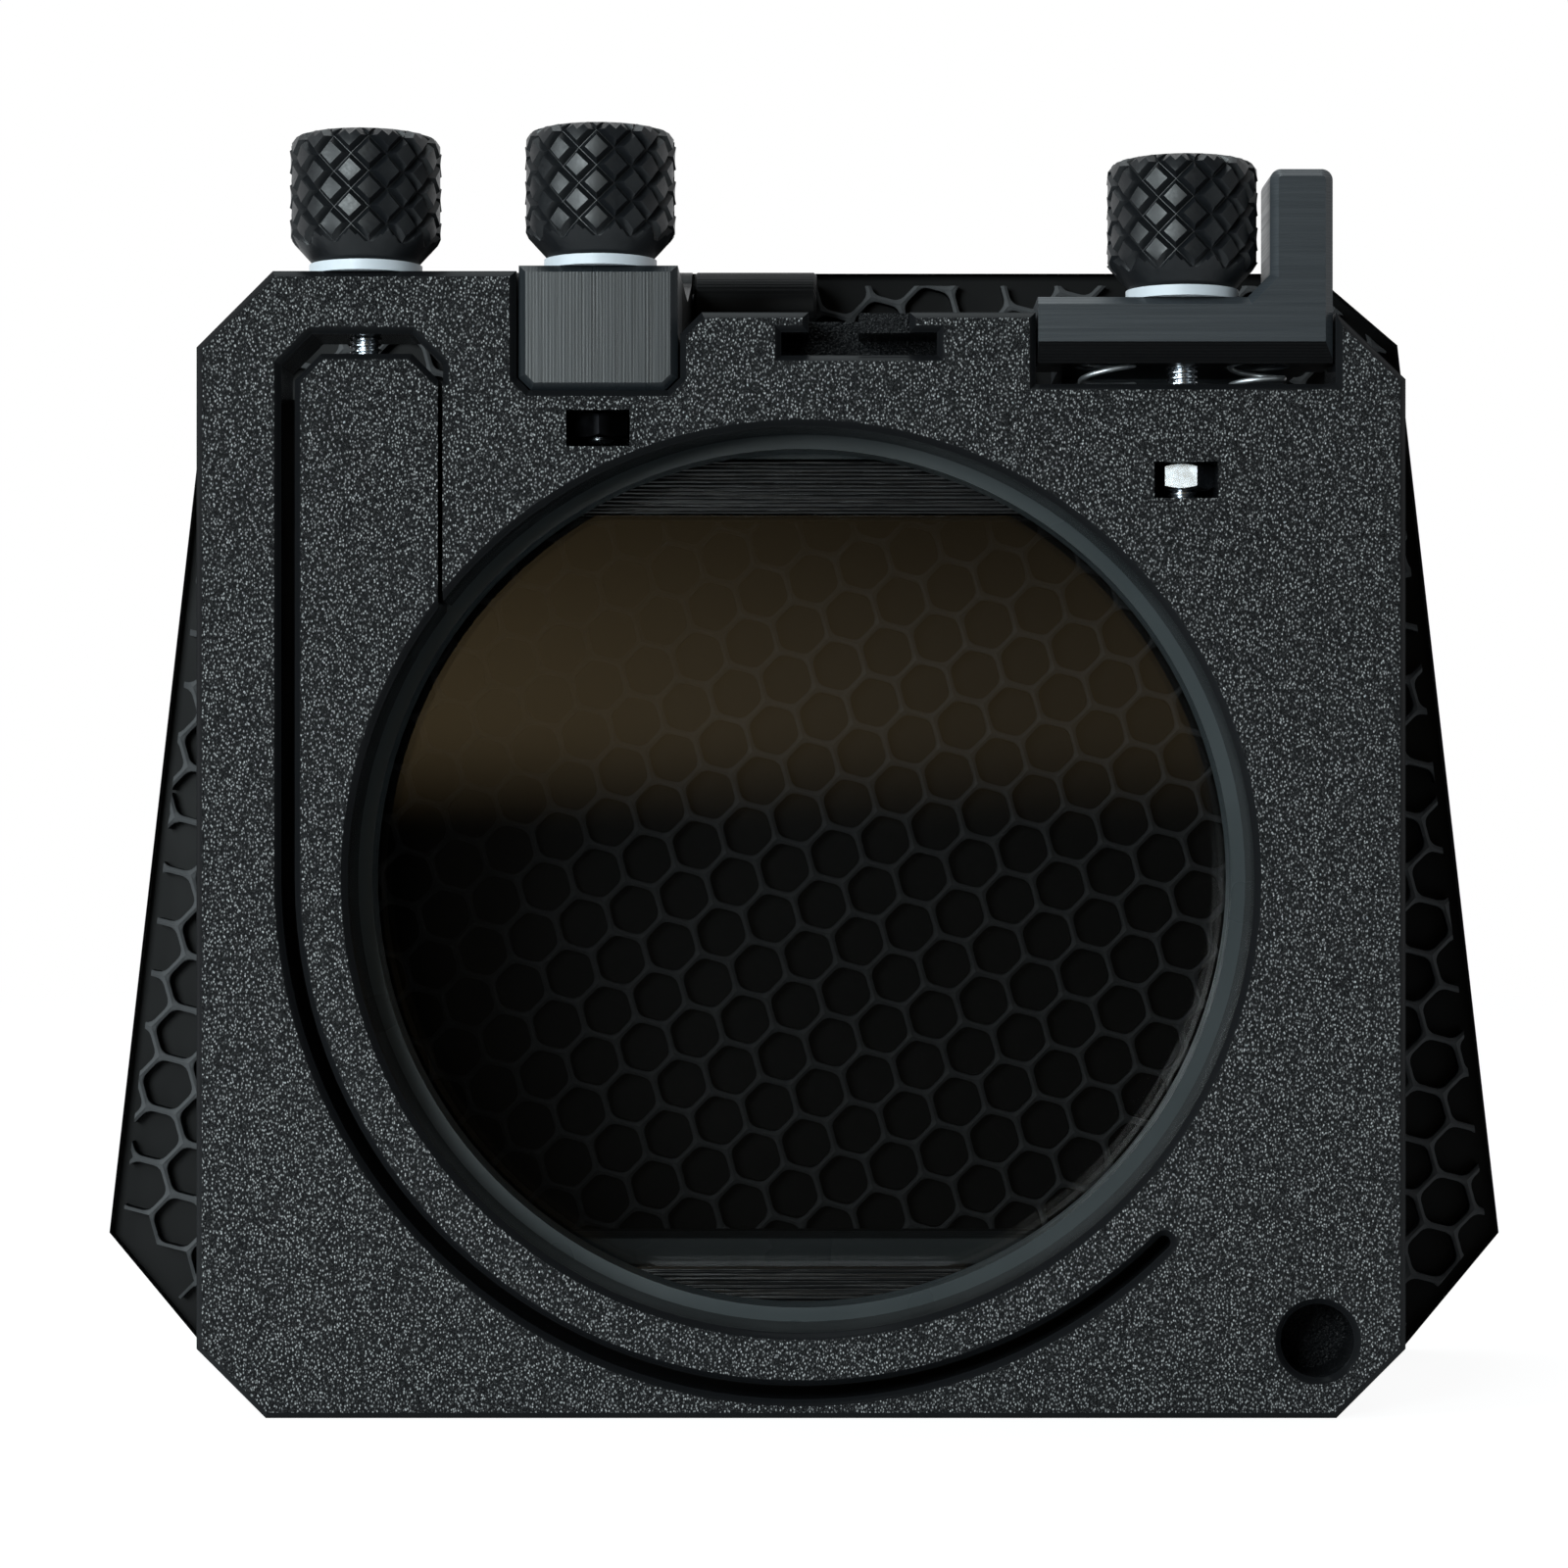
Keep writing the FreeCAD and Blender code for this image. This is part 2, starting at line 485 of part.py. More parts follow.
def make_lock_bracket():
    body = new_body("lock_bracket")
    low, high = "lock_floor + lock_lift", "lock_floor + lock_lift + bar_high"
    left, right = "lock_axis - lock_wide / 2", "lock_axis + lock_wide / 2"
    start = "bar_set_back - plate_thick"
    add_slab(body, "bar", "XZ", start, "bar_deep", [
        (left, low), (right, low), (right, "tab_top"), (right + " - tab_wide", "tab_top"),
        (right + " - tab_wide", high + " + tab_cut"), (right + " - tab_wide - tab_cut", high), (left, high)])
    corners = [f"Edge{n}" for n, edge in enumerate(body.Shape.Edges, 1) if is_tab_corner(edge, body.Shape)]
    round_off(body, "tab_rounding", "tab_round", corners)
    upper = [f"Edge{n}" for n, edge in enumerate(body.Shape.Edges, 1) if is_upper_rear(edge, body.Shape)]
    bevel(body, "bar_bevel_cut", "bar_bevel", upper)
    cut_slab(body, "bar_undercut", "YZ", left, "lock_wide",
             [(start, low), (start + " + undercut_deep", low), (start, low + " + undercut_high")])
    bar_end = f"({start} + bar_deep)"
    add_slab(body, "tongue", "XZ", bar_end, f"{TONGUE_END} - {bar_end}", box_corners(
        "lock_axis - tongue_wide / 2", "lock_axis + tongue_wide / 2", low, low + " + tongue_high"))
    foot_low = "channel_high - channel_low + lock_travel"
    add_slab(body, "foot", "XZ", f"{TONGUE_END} - foot_deep", "foot_deep", box_corners(
        "lock_axis - foot_wide / 2", "lock_axis + foot_wide / 2", foot_low, low + " + tongue_high"))
    cut_slab(body, "screw_hole", "XY", low, "bar_high",
             ("lock_axis", "-knob_depth", "screw_radius + running_gap"))
    cut_slab(body, "spring_cups", "XY", low, "spring_cup",
             *[(f"lock_axis {side} spring_spread", "-knob_depth", "spring_radius + wire_radius + well_gap")
               for side in "-+"])


def is_tab_corner(edge, shape):
    """Tell the two top edges of the tab that run along the depth."""
    box = edge.BoundBox
    return box.YLength > 1e-6 and abs(box.ZMin - shape.BoundBox.ZMax) < 1e-6 and box.XLength < 1e-6


def is_upper_rear(edge, shape):
    """Tell the rear edges along the top of the bar, its corner and its tab."""
    box = edge.BoundBox
    rear = abs(box.YMax - shape.BoundBox.YMin) < 1e-6
    return rear and box.XLength > 1e-6 and box.ZMin > shape.BoundBox.ZMin + 1


def make_spring(name, side):
    """Wind one open coil spring between its well and its cup."""
    base = "lock_floor - spring_well"
    height = "spring_well + lock_lift + spring_cup - 2 * wire_radius - 2 * running_gap"
    coil = doc.addObject("Part::Helix", name + "_line")
    sized(coil, "Pitch", "spring_pitch")
    sized(coil, "Height", height)
    sized(coil, "Radius", "spring_radius")
    coil.SegmentLength = number("spring_segment")
    wire = doc.addObject("Part::Circle", name + "_wire")
    sized(wire, "Radius", "wire_radius")
    place(wire, "spring_radius", turn=FreeCAD.Rotation(V(1, 0, 0), 90))
    spring = doc.addObject("Part::Sweep", name)
    spring.Label = name
    spring.Sections = [wire]
    spring.Spine = (coil, [])
    spring.Solid = True
    spring.Frenet = True
    place(spring, f"lock_axis {side} spring_spread", "-knob_depth", f"{base} + wire_radius + running_gap")


# Filter tray with its glass and the frame that holds the glass in

def tray_window():
    left = f"{TRAY_MIDDLE} - glass_long / 2 + glass_hold"
    right = f"{TRAY_MIDDLE} + glass_long / 2 - glass_hold"
    return box_corners(left, right, f"{GLASS_LOW} + glass_hold", f"{GLASS_LOW} + glass_high - glass_hold")


def make_filter_tray():
    body = new_body("filter_tray")
    back = "lip_deep + moving_gap"
    low, high = "moving_gap - channel_low", "channel_high - channel_low - moving_gap"
    add_slab(body, "frame", "XZ", back, "channel_deep - 2 * moving_gap",
             box_corners(TRAY_LEFT, "half_width", low, high))
    cut_slab(body, "window", "XZ", back, "tray_back", tray_window())
    play = "glass_play"
    cut_slab(body, "glass_bed", "XZ", f"{back} + tray_back", "channel_deep - 2 * moving_gap - tray_back",
             box_corners(f"{TRAY_MIDDLE} - glass_long / 2 - {play}",
                         f"{TRAY_MIDDLE} + glass_long / 2 + {play}",
                         f"{GLASS_LOW} - {play}", f"{GLASS_LOW} + glass_high + {play}"))
    add_slab(body, "pull", "YZ", "half_width", "pull_reach",
             box_corners(back, "lip_deep + channel_deep - moving_gap", "-pull_high / 2", "pull_high / 2"))


def make_filter_glass():
    body = new_body("filter_glass")
    add_slab(body, "pane", "XZ", "lip_deep + moving_gap + tray_back", "glass_thick", box_corners(
        f"{TRAY_MIDDLE} - glass_long / 2", f"{TRAY_MIDDLE} + glass_long / 2", GLASS_LOW,
        f"{GLASS_LOW} + glass_high"))


def make_tray_retainer():
    body = new_body("tray_retainer")
    start = "lip_deep + moving_gap + tray_back + glass_thick"
    depth = "channel_deep - 2 * moving_gap - tray_back - glass_thick"
    add_slab(body, "frame", "XZ", start, depth, box_corners(
        f"{TRAY_MIDDLE} - glass_long / 2", f"{TRAY_MIDDLE} + glass_long / 2", GLASS_LOW,
        f"{GLASS_LOW} + glass_high"), tray_window())


# Flag arm: the block in the plate's left recess, reaching forward to the hinge

def make_flag_arm():
    body = new_body("flag_arm")
    left, right = "-arm_axis - arm_wide / 2", "arm_wide / 2 - arm_axis"
    hinge_y = "stage_deep + hinge_reach"
    top = "arm_floor + arm_high"
    back = "-plate_thick"
    add_slab(body, "block", "XZ", back, "plate_thick + stage_deep", [
        (left + " + arm_cut", "arm_floor"), (right + " - arm_cut", "arm_floor"),
        (right, "arm_floor + arm_cut"),
        (right, top), (left, top), (left, "arm_floor + arm_cut")])
    bevel(body, "rear_bevel", "arm_bevel", rear_faces(body.Shape))
    drop = "hinge_height - knuckle_radius"
    add_slab(body, "reach", "YZ", left, "arm_wide", [
        ("stage_deep", "arm_floor + arm_cut"), (f"{hinge_y} - knuckle_radius / 2", drop),
        (hinge_y, "hinge_height"), (hinge_y, "hinge_height + knuckle_radius"),
        (f"{hinge_y} - knuckle_radius", "hinge_height + knuckle_radius / 2"), ("stage_deep", top)])
    add_slab(body, "knuckle", "YZ", left, "arm_wide", (hinge_y, "hinge_height", "knuckle_radius"))
    cut_slab(body, "bolt_hole", "YZ", left, "arm_wide",
             (hinge_y, "hinge_height", "screw_radius + running_gap"))
    cut_slab(body, "knob_hole", "XY", "arm_floor", "arm_high",
             ("-arm_axis", "-knob_depth", "screw_radius + running_gap"))


# Top flag: a panel with a solid skin outside and a honeycomb of ribs inside, hung on two ears

def flag_corners(rim):
    """List the flag's corners, drawn in by a rim."""
    top = "hinge_height + knuckle_radius + flag_rise"
    low, high = f"{rim} - flag_low", f"{top} - {rim}"
    return [(f"-(flag_half_low - flag_low_cut - {rim} / 2)", low),
            (f"flag_half_low - flag_low_cut - {rim} / 2", low),
            (f"flag_half_low - {rim}", f"flag_low_rise - flag_low + {rim} / 2"),
            (f"flag_half_high - {rim}", f"{top} - flag_top_drop - {rim} / 2"),
            (f"flag_half_high - flag_top_cut - {rim} / 2", high),
            (f"-(flag_half_high - flag_top_cut - {rim} / 2)", high),
            (f"-(flag_half_high - {rim})", f"{top} - flag_top_drop - {rim} / 2"),
            (f"-(flag_half_low - {rim})", f"flag_low_rise - flag_low + {rim} / 2")]


def honeycomb_cells(field):
    """Draw the open cells that fill a flat field, each a hexagon cut off where it meets the field's edge."""
    pitch, opening = number("cell_pitch"), number("cell_pitch") - number("cell_rib")
    turn = FreeCAD.Rotation(V(0, 1, 0), -number("cell_turn"))
    middle = field.CenterOfMass
    reach = field.BoundBox.DiagonalLength / 2
    row_step = pitch * 3 ** 0.5 / 2
    cells = []
    for row in range(-int(reach / row_step), int(reach / row_step) + 1):
        for column in range(-int(reach / pitch) - 1, int(reach / pitch) + 1):
            centre = middle + turn.multVec(V((column + row % 2 / 2) * pitch, 0, row * row_step))
            corners = [centre + turn.multVec(FreeCAD.Rotation(V(0, 1, 0), 60 * n + 30).multVec(
                V(opening / 3 ** 0.5, 0, 0))) for n in range(7)]
            inside = [field.isInside(corner, 1e-7, True) for corner in corners[:6]]
            if all(inside):
                cells.append(Part.makePolygon(corners))
            elif any(inside):
                cut_cell = Part.Face(Part.makePolygon(corners)).common(field)
                cells += [face.OuterWire for face in cut_cell.Faces if face.Area > number("cell_rib") ** 2]
    return cells


def hexagon(across, up, flats):
    """List the corners of a hexagon that stands on a corner, from its middle and its width across flats."""
    reach = f"({flats}) / 2 / cos(30)"
    return [(f"{across} + {reach} * cos({angle})", f"{up} + {reach} * sin({angle})")
            for angle in range(30, 390, 60)]


def make_flag_panel():
    rear = "stage_deep + shade_deep + flag_gap"
    skin = new_body("flag_skin")
    add_slab(skin, "skin", "XZ", rear + " + flag_thick - flag_skin", "flag_skin", flag_corners("0"))
    drawing = new_body("flag_drawing")
    outline = draw_on(drawing, "flag_outline", "XZ", rear, [flag_corners("0")])
    field = draw_on(drawing, "flag_field", "XZ", rear, [flag_corners("flag_rim")])
    hinge_y = "stage_deep + hinge_reach"
    ears = []
    right_ear = "arm_wide / 2 - arm_axis + moving_gap"
    left_ear = "-arm_axis - arm_wide / 2 - moving_gap - left_ear_wide"
    for side, start, width in (("left", left_ear, "left_ear_wide"), ("right", right_ear, "ear_wide")):
        ear = new_body(side + "_ear")
        add_slab(ear, side + "_web", "YZ", start, width, box_corners(
            hinge_y, rear, "hinge_height - knuckle_radius", "hinge_height + knuckle_radius"))
        add_slab(ear, side + "_knuckle", "YZ", start, width, (hinge_y, "hinge_height", "knuckle_radius"))
        cut_slab(ear, side + "_eye", "YZ", start, width,
                 (hinge_y, "hinge_height", "screw_radius + running_gap"))
        ears.append(ear)
    cut_slab(ear, "hinge_nut_pocket", "YZ", HINGE_NUT_START, "hinge_nut_high + pocket_play",
             hexagon(hinge_y, "hinge_height", "nut_flats + 2 * pocket_play"))
    cells = honeycomb_cells(Part.Face(field.Shape.Wires[0]))
    web = Part.Face([outline.Shape.Wires[0]] + cells)
    ribs = web.extrude(V(0, number("flag_thick") - number("flag_skin"), 0))
    whole = doc.addObject("Part::Feature", "flag_panel")
    whole.Label = "flag_panel"
    whole.Shape = ribs.fuse([skin.Shape] + [ear.Shape for ear in ears])


def make_hinge_bolt():
    depth = "stage_deep + hinge_reach"
    left = "-arm_axis - arm_wide / 2 - moving_gap - left_ear_wide"
    shank = cylinder("hinge_bolt_shank", "screw_radius", f"{HINGE_END} - ({left})", left, depth,
                     "hinge_height", ALONG_X)
    head = cylinder("hinge_bolt_head", "hinge_head_radius", "hinge_head_high", f"{left} - hinge_head_high",
                    depth, "hinge_height", ALONG_X)
    socket = hex_bar("hinge_bolt_socket", "small_key", "small_key_deep", f"{left} - hinge_head_high", depth,
                     "hinge_height", ALONG_X)
    cut_from("hinge_bolt", fuse("hinge_bolt_blank", [shank, head]), socket)
    blank = hex_bar("hinge_nut_blank", "nut_flats", "hinge_nut_high", HINGE_NUT_START, depth, "hinge_height",
                    ALONG_X)
    thread = cylinder("hinge_nut_thread", "screw_radius + running_gap", "hinge_nut_high", HINGE_NUT_START,
                      depth, "hinge_height", ALONG_X)
    cut_from("hinge_nut", blank, thread)


# Build every sub-part, then check and write each one

make_rear_plate()
make_stage_housing()
make_shade_hood()
make_small_fasteners()
make_knob_set("clamp", "-clamp_axis", "clamp_pocket + window_high", "left_top", "nut_turn")
make_knob_set("arm", "-arm_axis", "arm_window + window_high", "arm_floor + arm_high", "nut_turn")
make_knob_set("lock", "lock_axis", "lock_window + window_high", "lock_floor + lock_lift + bar_high",
              "lock_nut_turn")
make_lock_bracket()
make_spring("lock_spring_left", "-")
make_spring("lock_spring_right", "+")
make_filter_tray()
make_filter_glass()
make_tray_retainer()
make_flag_arm()
make_flag_panel()
make_hinge_bolt()
doc.recompute()

NODES = ["rear_plate", "stage_housing", "shade_hood", "stage_screws", "stage_inserts", "shade_screws",
         "shade_inserts", "clamp_knob", "clamp_screw", "clamp_washer", "clamp_nut", "arm_knob", "arm_screw",
         "arm_washer", "arm_nut", "lock_knob", "lock_screw", "lock_washer", "lock_nut", "lock_bracket",
         "lock_spring_left", "lock_spring_right", "filter_tray", "filter_glass", "tray_retainer", "flag_arm",
         "flag_panel", "hinge_bolt", "hinge_nut"]

for thing in doc.Objects:
    if "Invalid" in thing.State or "Error" in thing.State:
        raise ValueError(thing.Name + " failed")
os.makedirs("parts", exist_ok=True)
for name in NODES:
    shape = doc.getObjectsByLabel(name)[0].Shape
    if shape.isNull() or not shape.isValid() or not shape.Solids:
        raise ValueError(name + " has no valid solid")
    shape.exportStep(f"parts/{name}.step")
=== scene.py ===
import math

import bmesh
import bpy
from mathutils import Matrix, Vector


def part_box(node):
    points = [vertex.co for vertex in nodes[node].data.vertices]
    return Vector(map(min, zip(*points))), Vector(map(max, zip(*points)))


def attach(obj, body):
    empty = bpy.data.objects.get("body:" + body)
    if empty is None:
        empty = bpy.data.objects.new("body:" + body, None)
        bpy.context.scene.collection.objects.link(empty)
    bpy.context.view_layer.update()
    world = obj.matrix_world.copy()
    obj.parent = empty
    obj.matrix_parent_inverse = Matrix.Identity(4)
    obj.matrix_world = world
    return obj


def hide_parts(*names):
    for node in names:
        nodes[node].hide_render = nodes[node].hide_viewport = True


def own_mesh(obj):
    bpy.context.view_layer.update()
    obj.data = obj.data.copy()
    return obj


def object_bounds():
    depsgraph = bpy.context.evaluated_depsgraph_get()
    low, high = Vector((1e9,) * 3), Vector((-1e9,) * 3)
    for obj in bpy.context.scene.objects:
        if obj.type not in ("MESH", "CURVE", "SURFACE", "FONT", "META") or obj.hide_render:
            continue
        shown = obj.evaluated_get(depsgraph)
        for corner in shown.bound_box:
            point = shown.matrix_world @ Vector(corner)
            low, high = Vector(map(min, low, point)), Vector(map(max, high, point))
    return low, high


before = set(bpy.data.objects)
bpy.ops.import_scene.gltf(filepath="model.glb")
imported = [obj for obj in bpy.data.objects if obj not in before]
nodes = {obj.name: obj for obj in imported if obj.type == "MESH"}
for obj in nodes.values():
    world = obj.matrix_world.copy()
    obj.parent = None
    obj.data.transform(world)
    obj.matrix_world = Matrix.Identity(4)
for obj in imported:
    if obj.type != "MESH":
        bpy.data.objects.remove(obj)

cad_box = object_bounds()

# Camera: square behind the matte box, where the camera body and the lens would be, close enough to show
# a little of the top flag at each side of the plate.

MM = 0.001
PICTURE = 1600
FOCAL_PIXELS = 4065
AXIS_PIXEL = (845, 835)
CAMERA_PLACE = Vector((3.4, -512, 7.7)) * MM

lens = bpy.data.cameras.new("camera")
lens.sensor_width = 36
lens.lens = FOCAL_PIXELS / PICTURE * lens.sensor_width
lens.shift_x = (PICTURE / 2 - AXIS_PIXEL[0]) / PICTURE
lens.shift_y = (AXIS_PIXEL[1] - PICTURE / 2) / PICTURE
camera = bpy.data.objects.new("camera", lens)
camera.location = CAMERA_PLACE
camera.rotation_euler = (math.radians(90), 0, 0)
bpy.context.scene.collection.objects.link(camera)
bpy.context.scene.camera = camera
bpy.context.scene.view_settings.view_transform = "Standard"

# Studio: a white table in white air, brighter behind the object than on the camera's side. Glossy surfaces
# also see a warm wall behind the camera. Two lamps stand on the left, a weak one on the right, and one hangs
# above.

BACK_LIGHT, ROOM_LIGHT = 0.9, 0.05
PALE_AIR = (0.97, 0.985, 1, 1)
WARM_WALL = (0.62, 0.46, 0.24, 1)
WALL_FOOT, WALL_HEAD, WALL_SIDES = (-0.004, 0.026), (0.03, 0.09), (-0.115, 0.06)
BEHIND_CAMERA = -0.93
TABLE_RADIUS, TABLE_MIDDLE = 700 * MM, 550 * MM
TABLE_PAINT = (0.82, 0.83, 0.84, 1)
TABLE_GLOW, GLOW_SHARE = 1.13, 0.82
WHITE = (1, 1, 1, 1)
COOL = (0.86, 0.97, 1.0)
LAMPS = (("key_lamp", (-320, -700, 160), 300, 300, 5),
         ("side_lamp", (-700, -420, 330), 160, 500, 3.5),
         ("fill_lamp", (760, -560, 160), 420, 420, 0.45),
         ("top_lamp", (-60, 100, 900), 420, 420, 1.2))


def add_node(tree, kind, feeds=None, **settings):
    """Add a shader node: settings are its options, feeds are its inputs' values or what they read."""
    node = tree.nodes.new(kind)
    for name, value in settings.items():
        setattr(node, name, value)
    for place, source in (feeds or {}).items():
        if isinstance(source, bpy.types.NodeSocket):
            tree.links.new(source, node.inputs[place])
        else:
            node.inputs[place].default_value = source
    return node


def calculate(tree, operation, first, second=0.0):
    """Add a Math node and return what it gives."""
    return add_node(tree, "ShaderNodeMath", {0: first, 1: second}, operation=operation).outputs[0]


def remap(tree, value, low, high, to_low, to_high, smooth=False):
    """Stretch a value from one range to another and keep it inside."""
    feeds = {"Value": value, "From Min": low, "From Max": high, "To Min": to_low, "To Max": to_high}
    curve = "SMOOTHSTEP" if smooth else "LINEAR"
    return add_node(tree, "ShaderNodeMapRange", feeds, interpolation_type=curve).outputs[0]


def coordinate(tree, kind, axis):
    """Give one axis of a piece's own place or normal, or of a direction in the world."""
    source = add_node(tree, "ShaderNodeTexCoord").outputs[kind]
    return add_node(tree, "ShaderNodeSeparateXYZ", {0: source}).outputs[axis]


world = bpy.data.worlds.new("white_air")
bpy.context.scene.world = world
world.use_nodes = True
air = world.node_tree
air.nodes.clear()
ray = add_node(air, "ShaderNodeLightPath").outputs
sideways, forward, upward = (coordinate(air, "Generated", axis) for axis in range(3))
around = remap(air, forward, -0.35, 0.45, ROOM_LIGHT, BACK_LIGHT, smooth=True)
plain = add_node(air, "ShaderNodeBackground", {"Color": PALE_AIR, "Strength": around}).outputs[0]
above_table = remap(air, upward, *WALL_FOOT, 0, 1, smooth=True)
under_ceiling = remap(air, upward, *WALL_HEAD, 1, 0.45, smooth=True)
leftward = remap(air, sideways, *WALL_SIDES, 1.1, 0.5, smooth=True)
wall_light = calculate(air, "MULTIPLY", above_table, calculate(air, "MULTIPLY", leftward, under_ceiling))
wall = add_node(air, "ShaderNodeBackground", {"Color": WARM_WALL, "Strength": wall_light}).outputs[0]
behind_camera = calculate(air, "LESS_THAN", forward, BEHIND_CAMERA)
in_gloss = calculate(air, "MULTIPLY", behind_camera, ray["Is Glossy Ray"])
seen_in_gloss = add_node(air, "ShaderNodeMixShader", {0: in_gloss, 1: plain, 2: wall}).outputs[0]
white = add_node(air, "ShaderNodeBackground", {"Color": WHITE, "Strength": 1.0}).outputs[0]
shown = add_node(air, "ShaderNodeMixShader", {0: ray["Is Camera Ray"], 1: seen_in_gloss, 2: white}).outputs[0]
add_node(air, "ShaderNodeOutputWorld", {0: shown})

table_mesh = bmesh.new()
bmesh.ops.create_circle(table_mesh, cap_ends=True, segments=96, radius=TABLE_RADIUS,
                        matrix=Matrix.Translation((0, TABLE_MIDDLE, cad_box[0].z)))
table_data = bpy.data.meshes.new("table")
table_mesh.to_mesh(table_data)
table_mesh.free()
table = bpy.data.objects.new("table", table_data)
bpy.context.scene.collection.objects.link(table)

table_paint = bpy.data.materials.new("white_table")
table_paint.use_nodes = True
tree = table_paint.node_tree
tree.nodes.clear()
ray = add_node(tree, "ShaderNodeLightPath").outputs
lit = add_node(tree, "ShaderNodeBsdfDiffuse", {"Color": TABLE_PAINT}).outputs[0]
glow = add_node(tree, "ShaderNodeEmission", {"Color": WHITE, "Strength": TABLE_GLOW}).outputs[0]
seen = calculate(tree, "MAXIMUM", ray["Is Camera Ray"], ray["Is Transmission Ray"])
share = calculate(tree, "MULTIPLY", seen, GLOW_SHARE)
shown = add_node(tree, "ShaderNodeMixShader", {0: share, 1: lit, 2: glow}).outputs[0]
add_node(tree, "ShaderNodeOutputMaterial", {0: shown})
table_data.materials.append(table_paint)

for name, place, wide, high, power in LAMPS:
    lamp_data = bpy.data.lights.new(name, "AREA")
    lamp_data.shape = "RECTANGLE"
    lamp_data.size = wide * MM
    lamp_data.size_y = high * MM
    lamp_data.energy = power
    lamp_data.color = COOL
    lamp = bpy.data.objects.new(name, lamp_data)
    lamp.location = Vector(place) * MM
    lamp.rotation_euler = (-lamp.location).to_track_quat("-Z", "Y").to_euler()
    bpy.context.scene.collection.objects.link(lamp)

# Rear plate: printed flat on a textured bed, so its rear face is covered with small glossy beads, while its
# walls and bevels show the smooth side of the layers. The spring arm round the bore is part of the same print.

BLACK = (0.0068, 0.0072, 0.008)
# the glint colour is a painted highlight, mixed into the plate's base colour at the top of each bead
PAINTED_GLINT = (0.62, 0.62, 0.62)
BEAD, BEAD_RELIEF = 0.38 * MM, 0.34 * MM
BEAD_STRETCH = (1.3, 1, 0.85)
LAYER_RELIEF = 0.12
REAR_FACE = -11.9 * MM
WALL_SHINE, BED_SHINE, GLINT_SHINE = 0.08, 0.22, 0.6


def plastic(name, colour, roughness, specular=0.5):
    """Start a plastic and return its material, its tree and its shader."""
    material = bpy.data.materials.new(name)
    material.use_nodes = True
    shader = material.node_tree.nodes["Principled BSDF"]
    shader.inputs["Base Color"].default_value = (*colour, 1)
    shader.inputs["Roughness"].default_value = roughness
    shader.inputs["Specular IOR Level"].default_value = specular
    return material, material.node_tree, shader


def cloud(tree, where, scale, detail, **feeds):
    """Add a cloudy noise and return its strength."""
    feeds = {"Vector": where, "Scale": scale, "Detail": detail, **feeds}
    return add_node(tree, "ShaderNodeTexNoise", feeds).outputs[0]


def scaled(tree, where, factors):
    """Stretch a place by one factor for each axis."""
    return add_node(tree, "ShaderNodeVectorMath", {0: where, 1: factors}, operation="MULTIPLY").outputs[0]


def tint(tree, shader, where, first, second):
    """Colour a shader from a first to a second colour as a mask goes from 0 to 1."""
    feeds = {"Factor": where, 6: (*first, 1), 7: (*second, 1)}
    mixed = add_node(tree, "ShaderNodeMix", feeds, data_type="RGBA")
    tree.links.new(mixed.outputs["Result"], shader.inputs["Base Color"])


def emboss(tree, shader, height, strength, distance):
    """Raise a shader's surface by a height."""
    bump = add_node(tree, "ShaderNodeBump", {"Height": height, "Strength": strength, "Distance": distance})
    tree.links.new(bump.outputs[0], shader.inputs["Normal"])


def dress(node_name, material):
    """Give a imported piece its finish."""
    mesh = nodes[node_name].data
    mesh.materials.clear()
    mesh.materials.append(material)


plate_finish, tree, shader = plastic("bed_textured_black", BLACK, 0.22)
where = add_node(tree, "ShaderNodeTexCoord").outputs["Object"]
depth = coordinate(tree, "Object", 1)
on_bed = remap(tree, coordinate(tree, "Normal", 1), -0.97, -0.9, 1, 0)

# relief: beads on the bed's side, layers elsewhere
beads = add_node(tree, "ShaderNodeTexVoronoi", {"Vector": where, "Scale": 1 / BEAD, "Smoothness": 0.35},
                 feature="SMOOTH_F1").outputs["Distance"]
ripple = cloud(tree, where, 1.3 / BEAD, 2.0, Roughness=0.6, Distortion=0.6)
grain = calculate(tree, "SUBTRACT", calculate(tree, "MULTIPLY", ripple, 1.1), beads)
layer = add_node(tree, "ShaderNodeTexNoise", {"W": depth, "Scale": 2 / MM, "Detail": 1.0},
                 noise_dimensions="1D").outputs[0]
layers = calculate(tree, "MULTIPLY", layer, LAYER_RELIEF)
relief = add_node(tree, "ShaderNodeMix", {"Factor": on_bed, 2: layers, 3: grain}, data_type="FLOAT").outputs[0]
emboss(tree, shader, relief, 1.0, BEAD_RELIEF)
tree.links.new(remap(tree, cloud(tree, where, 90.0, 4.0), 0.3, 0.7, 0.18, 0.26), shader.inputs["Roughness"])

# painted glints: the top of each bead painted lighter in the base colour as a highlight, more or less bright, on
# the rear face only
stretched = scaled(tree, where, BEAD_STRETCH)
spot = add_node(tree, "ShaderNodeTexVoronoi", {"Vector": stretched, "Scale": 1 / BEAD},
                feature="F1").outputs["Distance"]
streak = cloud(tree, where, 1.2 / BEAD, 1.0)
strength = calculate(tree, "MULTIPLY", remap(tree, spot, 0.05, 0.42, 1, 0),
                     remap(tree, streak, 0.3, 0.62, 0.25, 1))
painted_glint = calculate(tree, "MULTIPLY", calculate(tree, "MULTIPLY", strength, on_bed),
                  remap(tree, depth, REAR_FACE, REAR_FACE + 0.1 * MM, 1, 0))
tint(tree, shader, painted_glint, BLACK, PAINTED_GLINT)
unglinted = remap(tree, on_bed, 0, 1, WALL_SHINE, BED_SHINE)
tree.links.new(remap(tree, painted_glint, 0, 1, unglinted, GLINT_SHINE), shader.inputs["Specular IOR Level"])
dress("rear_plate", plate_finish)

# Stage, shade, flag arm, filter tray, retainer and lock bracket: black prints whose layers or top strokes run
# as fine lines. Each is screwed, clamped or slid to its neighbour.

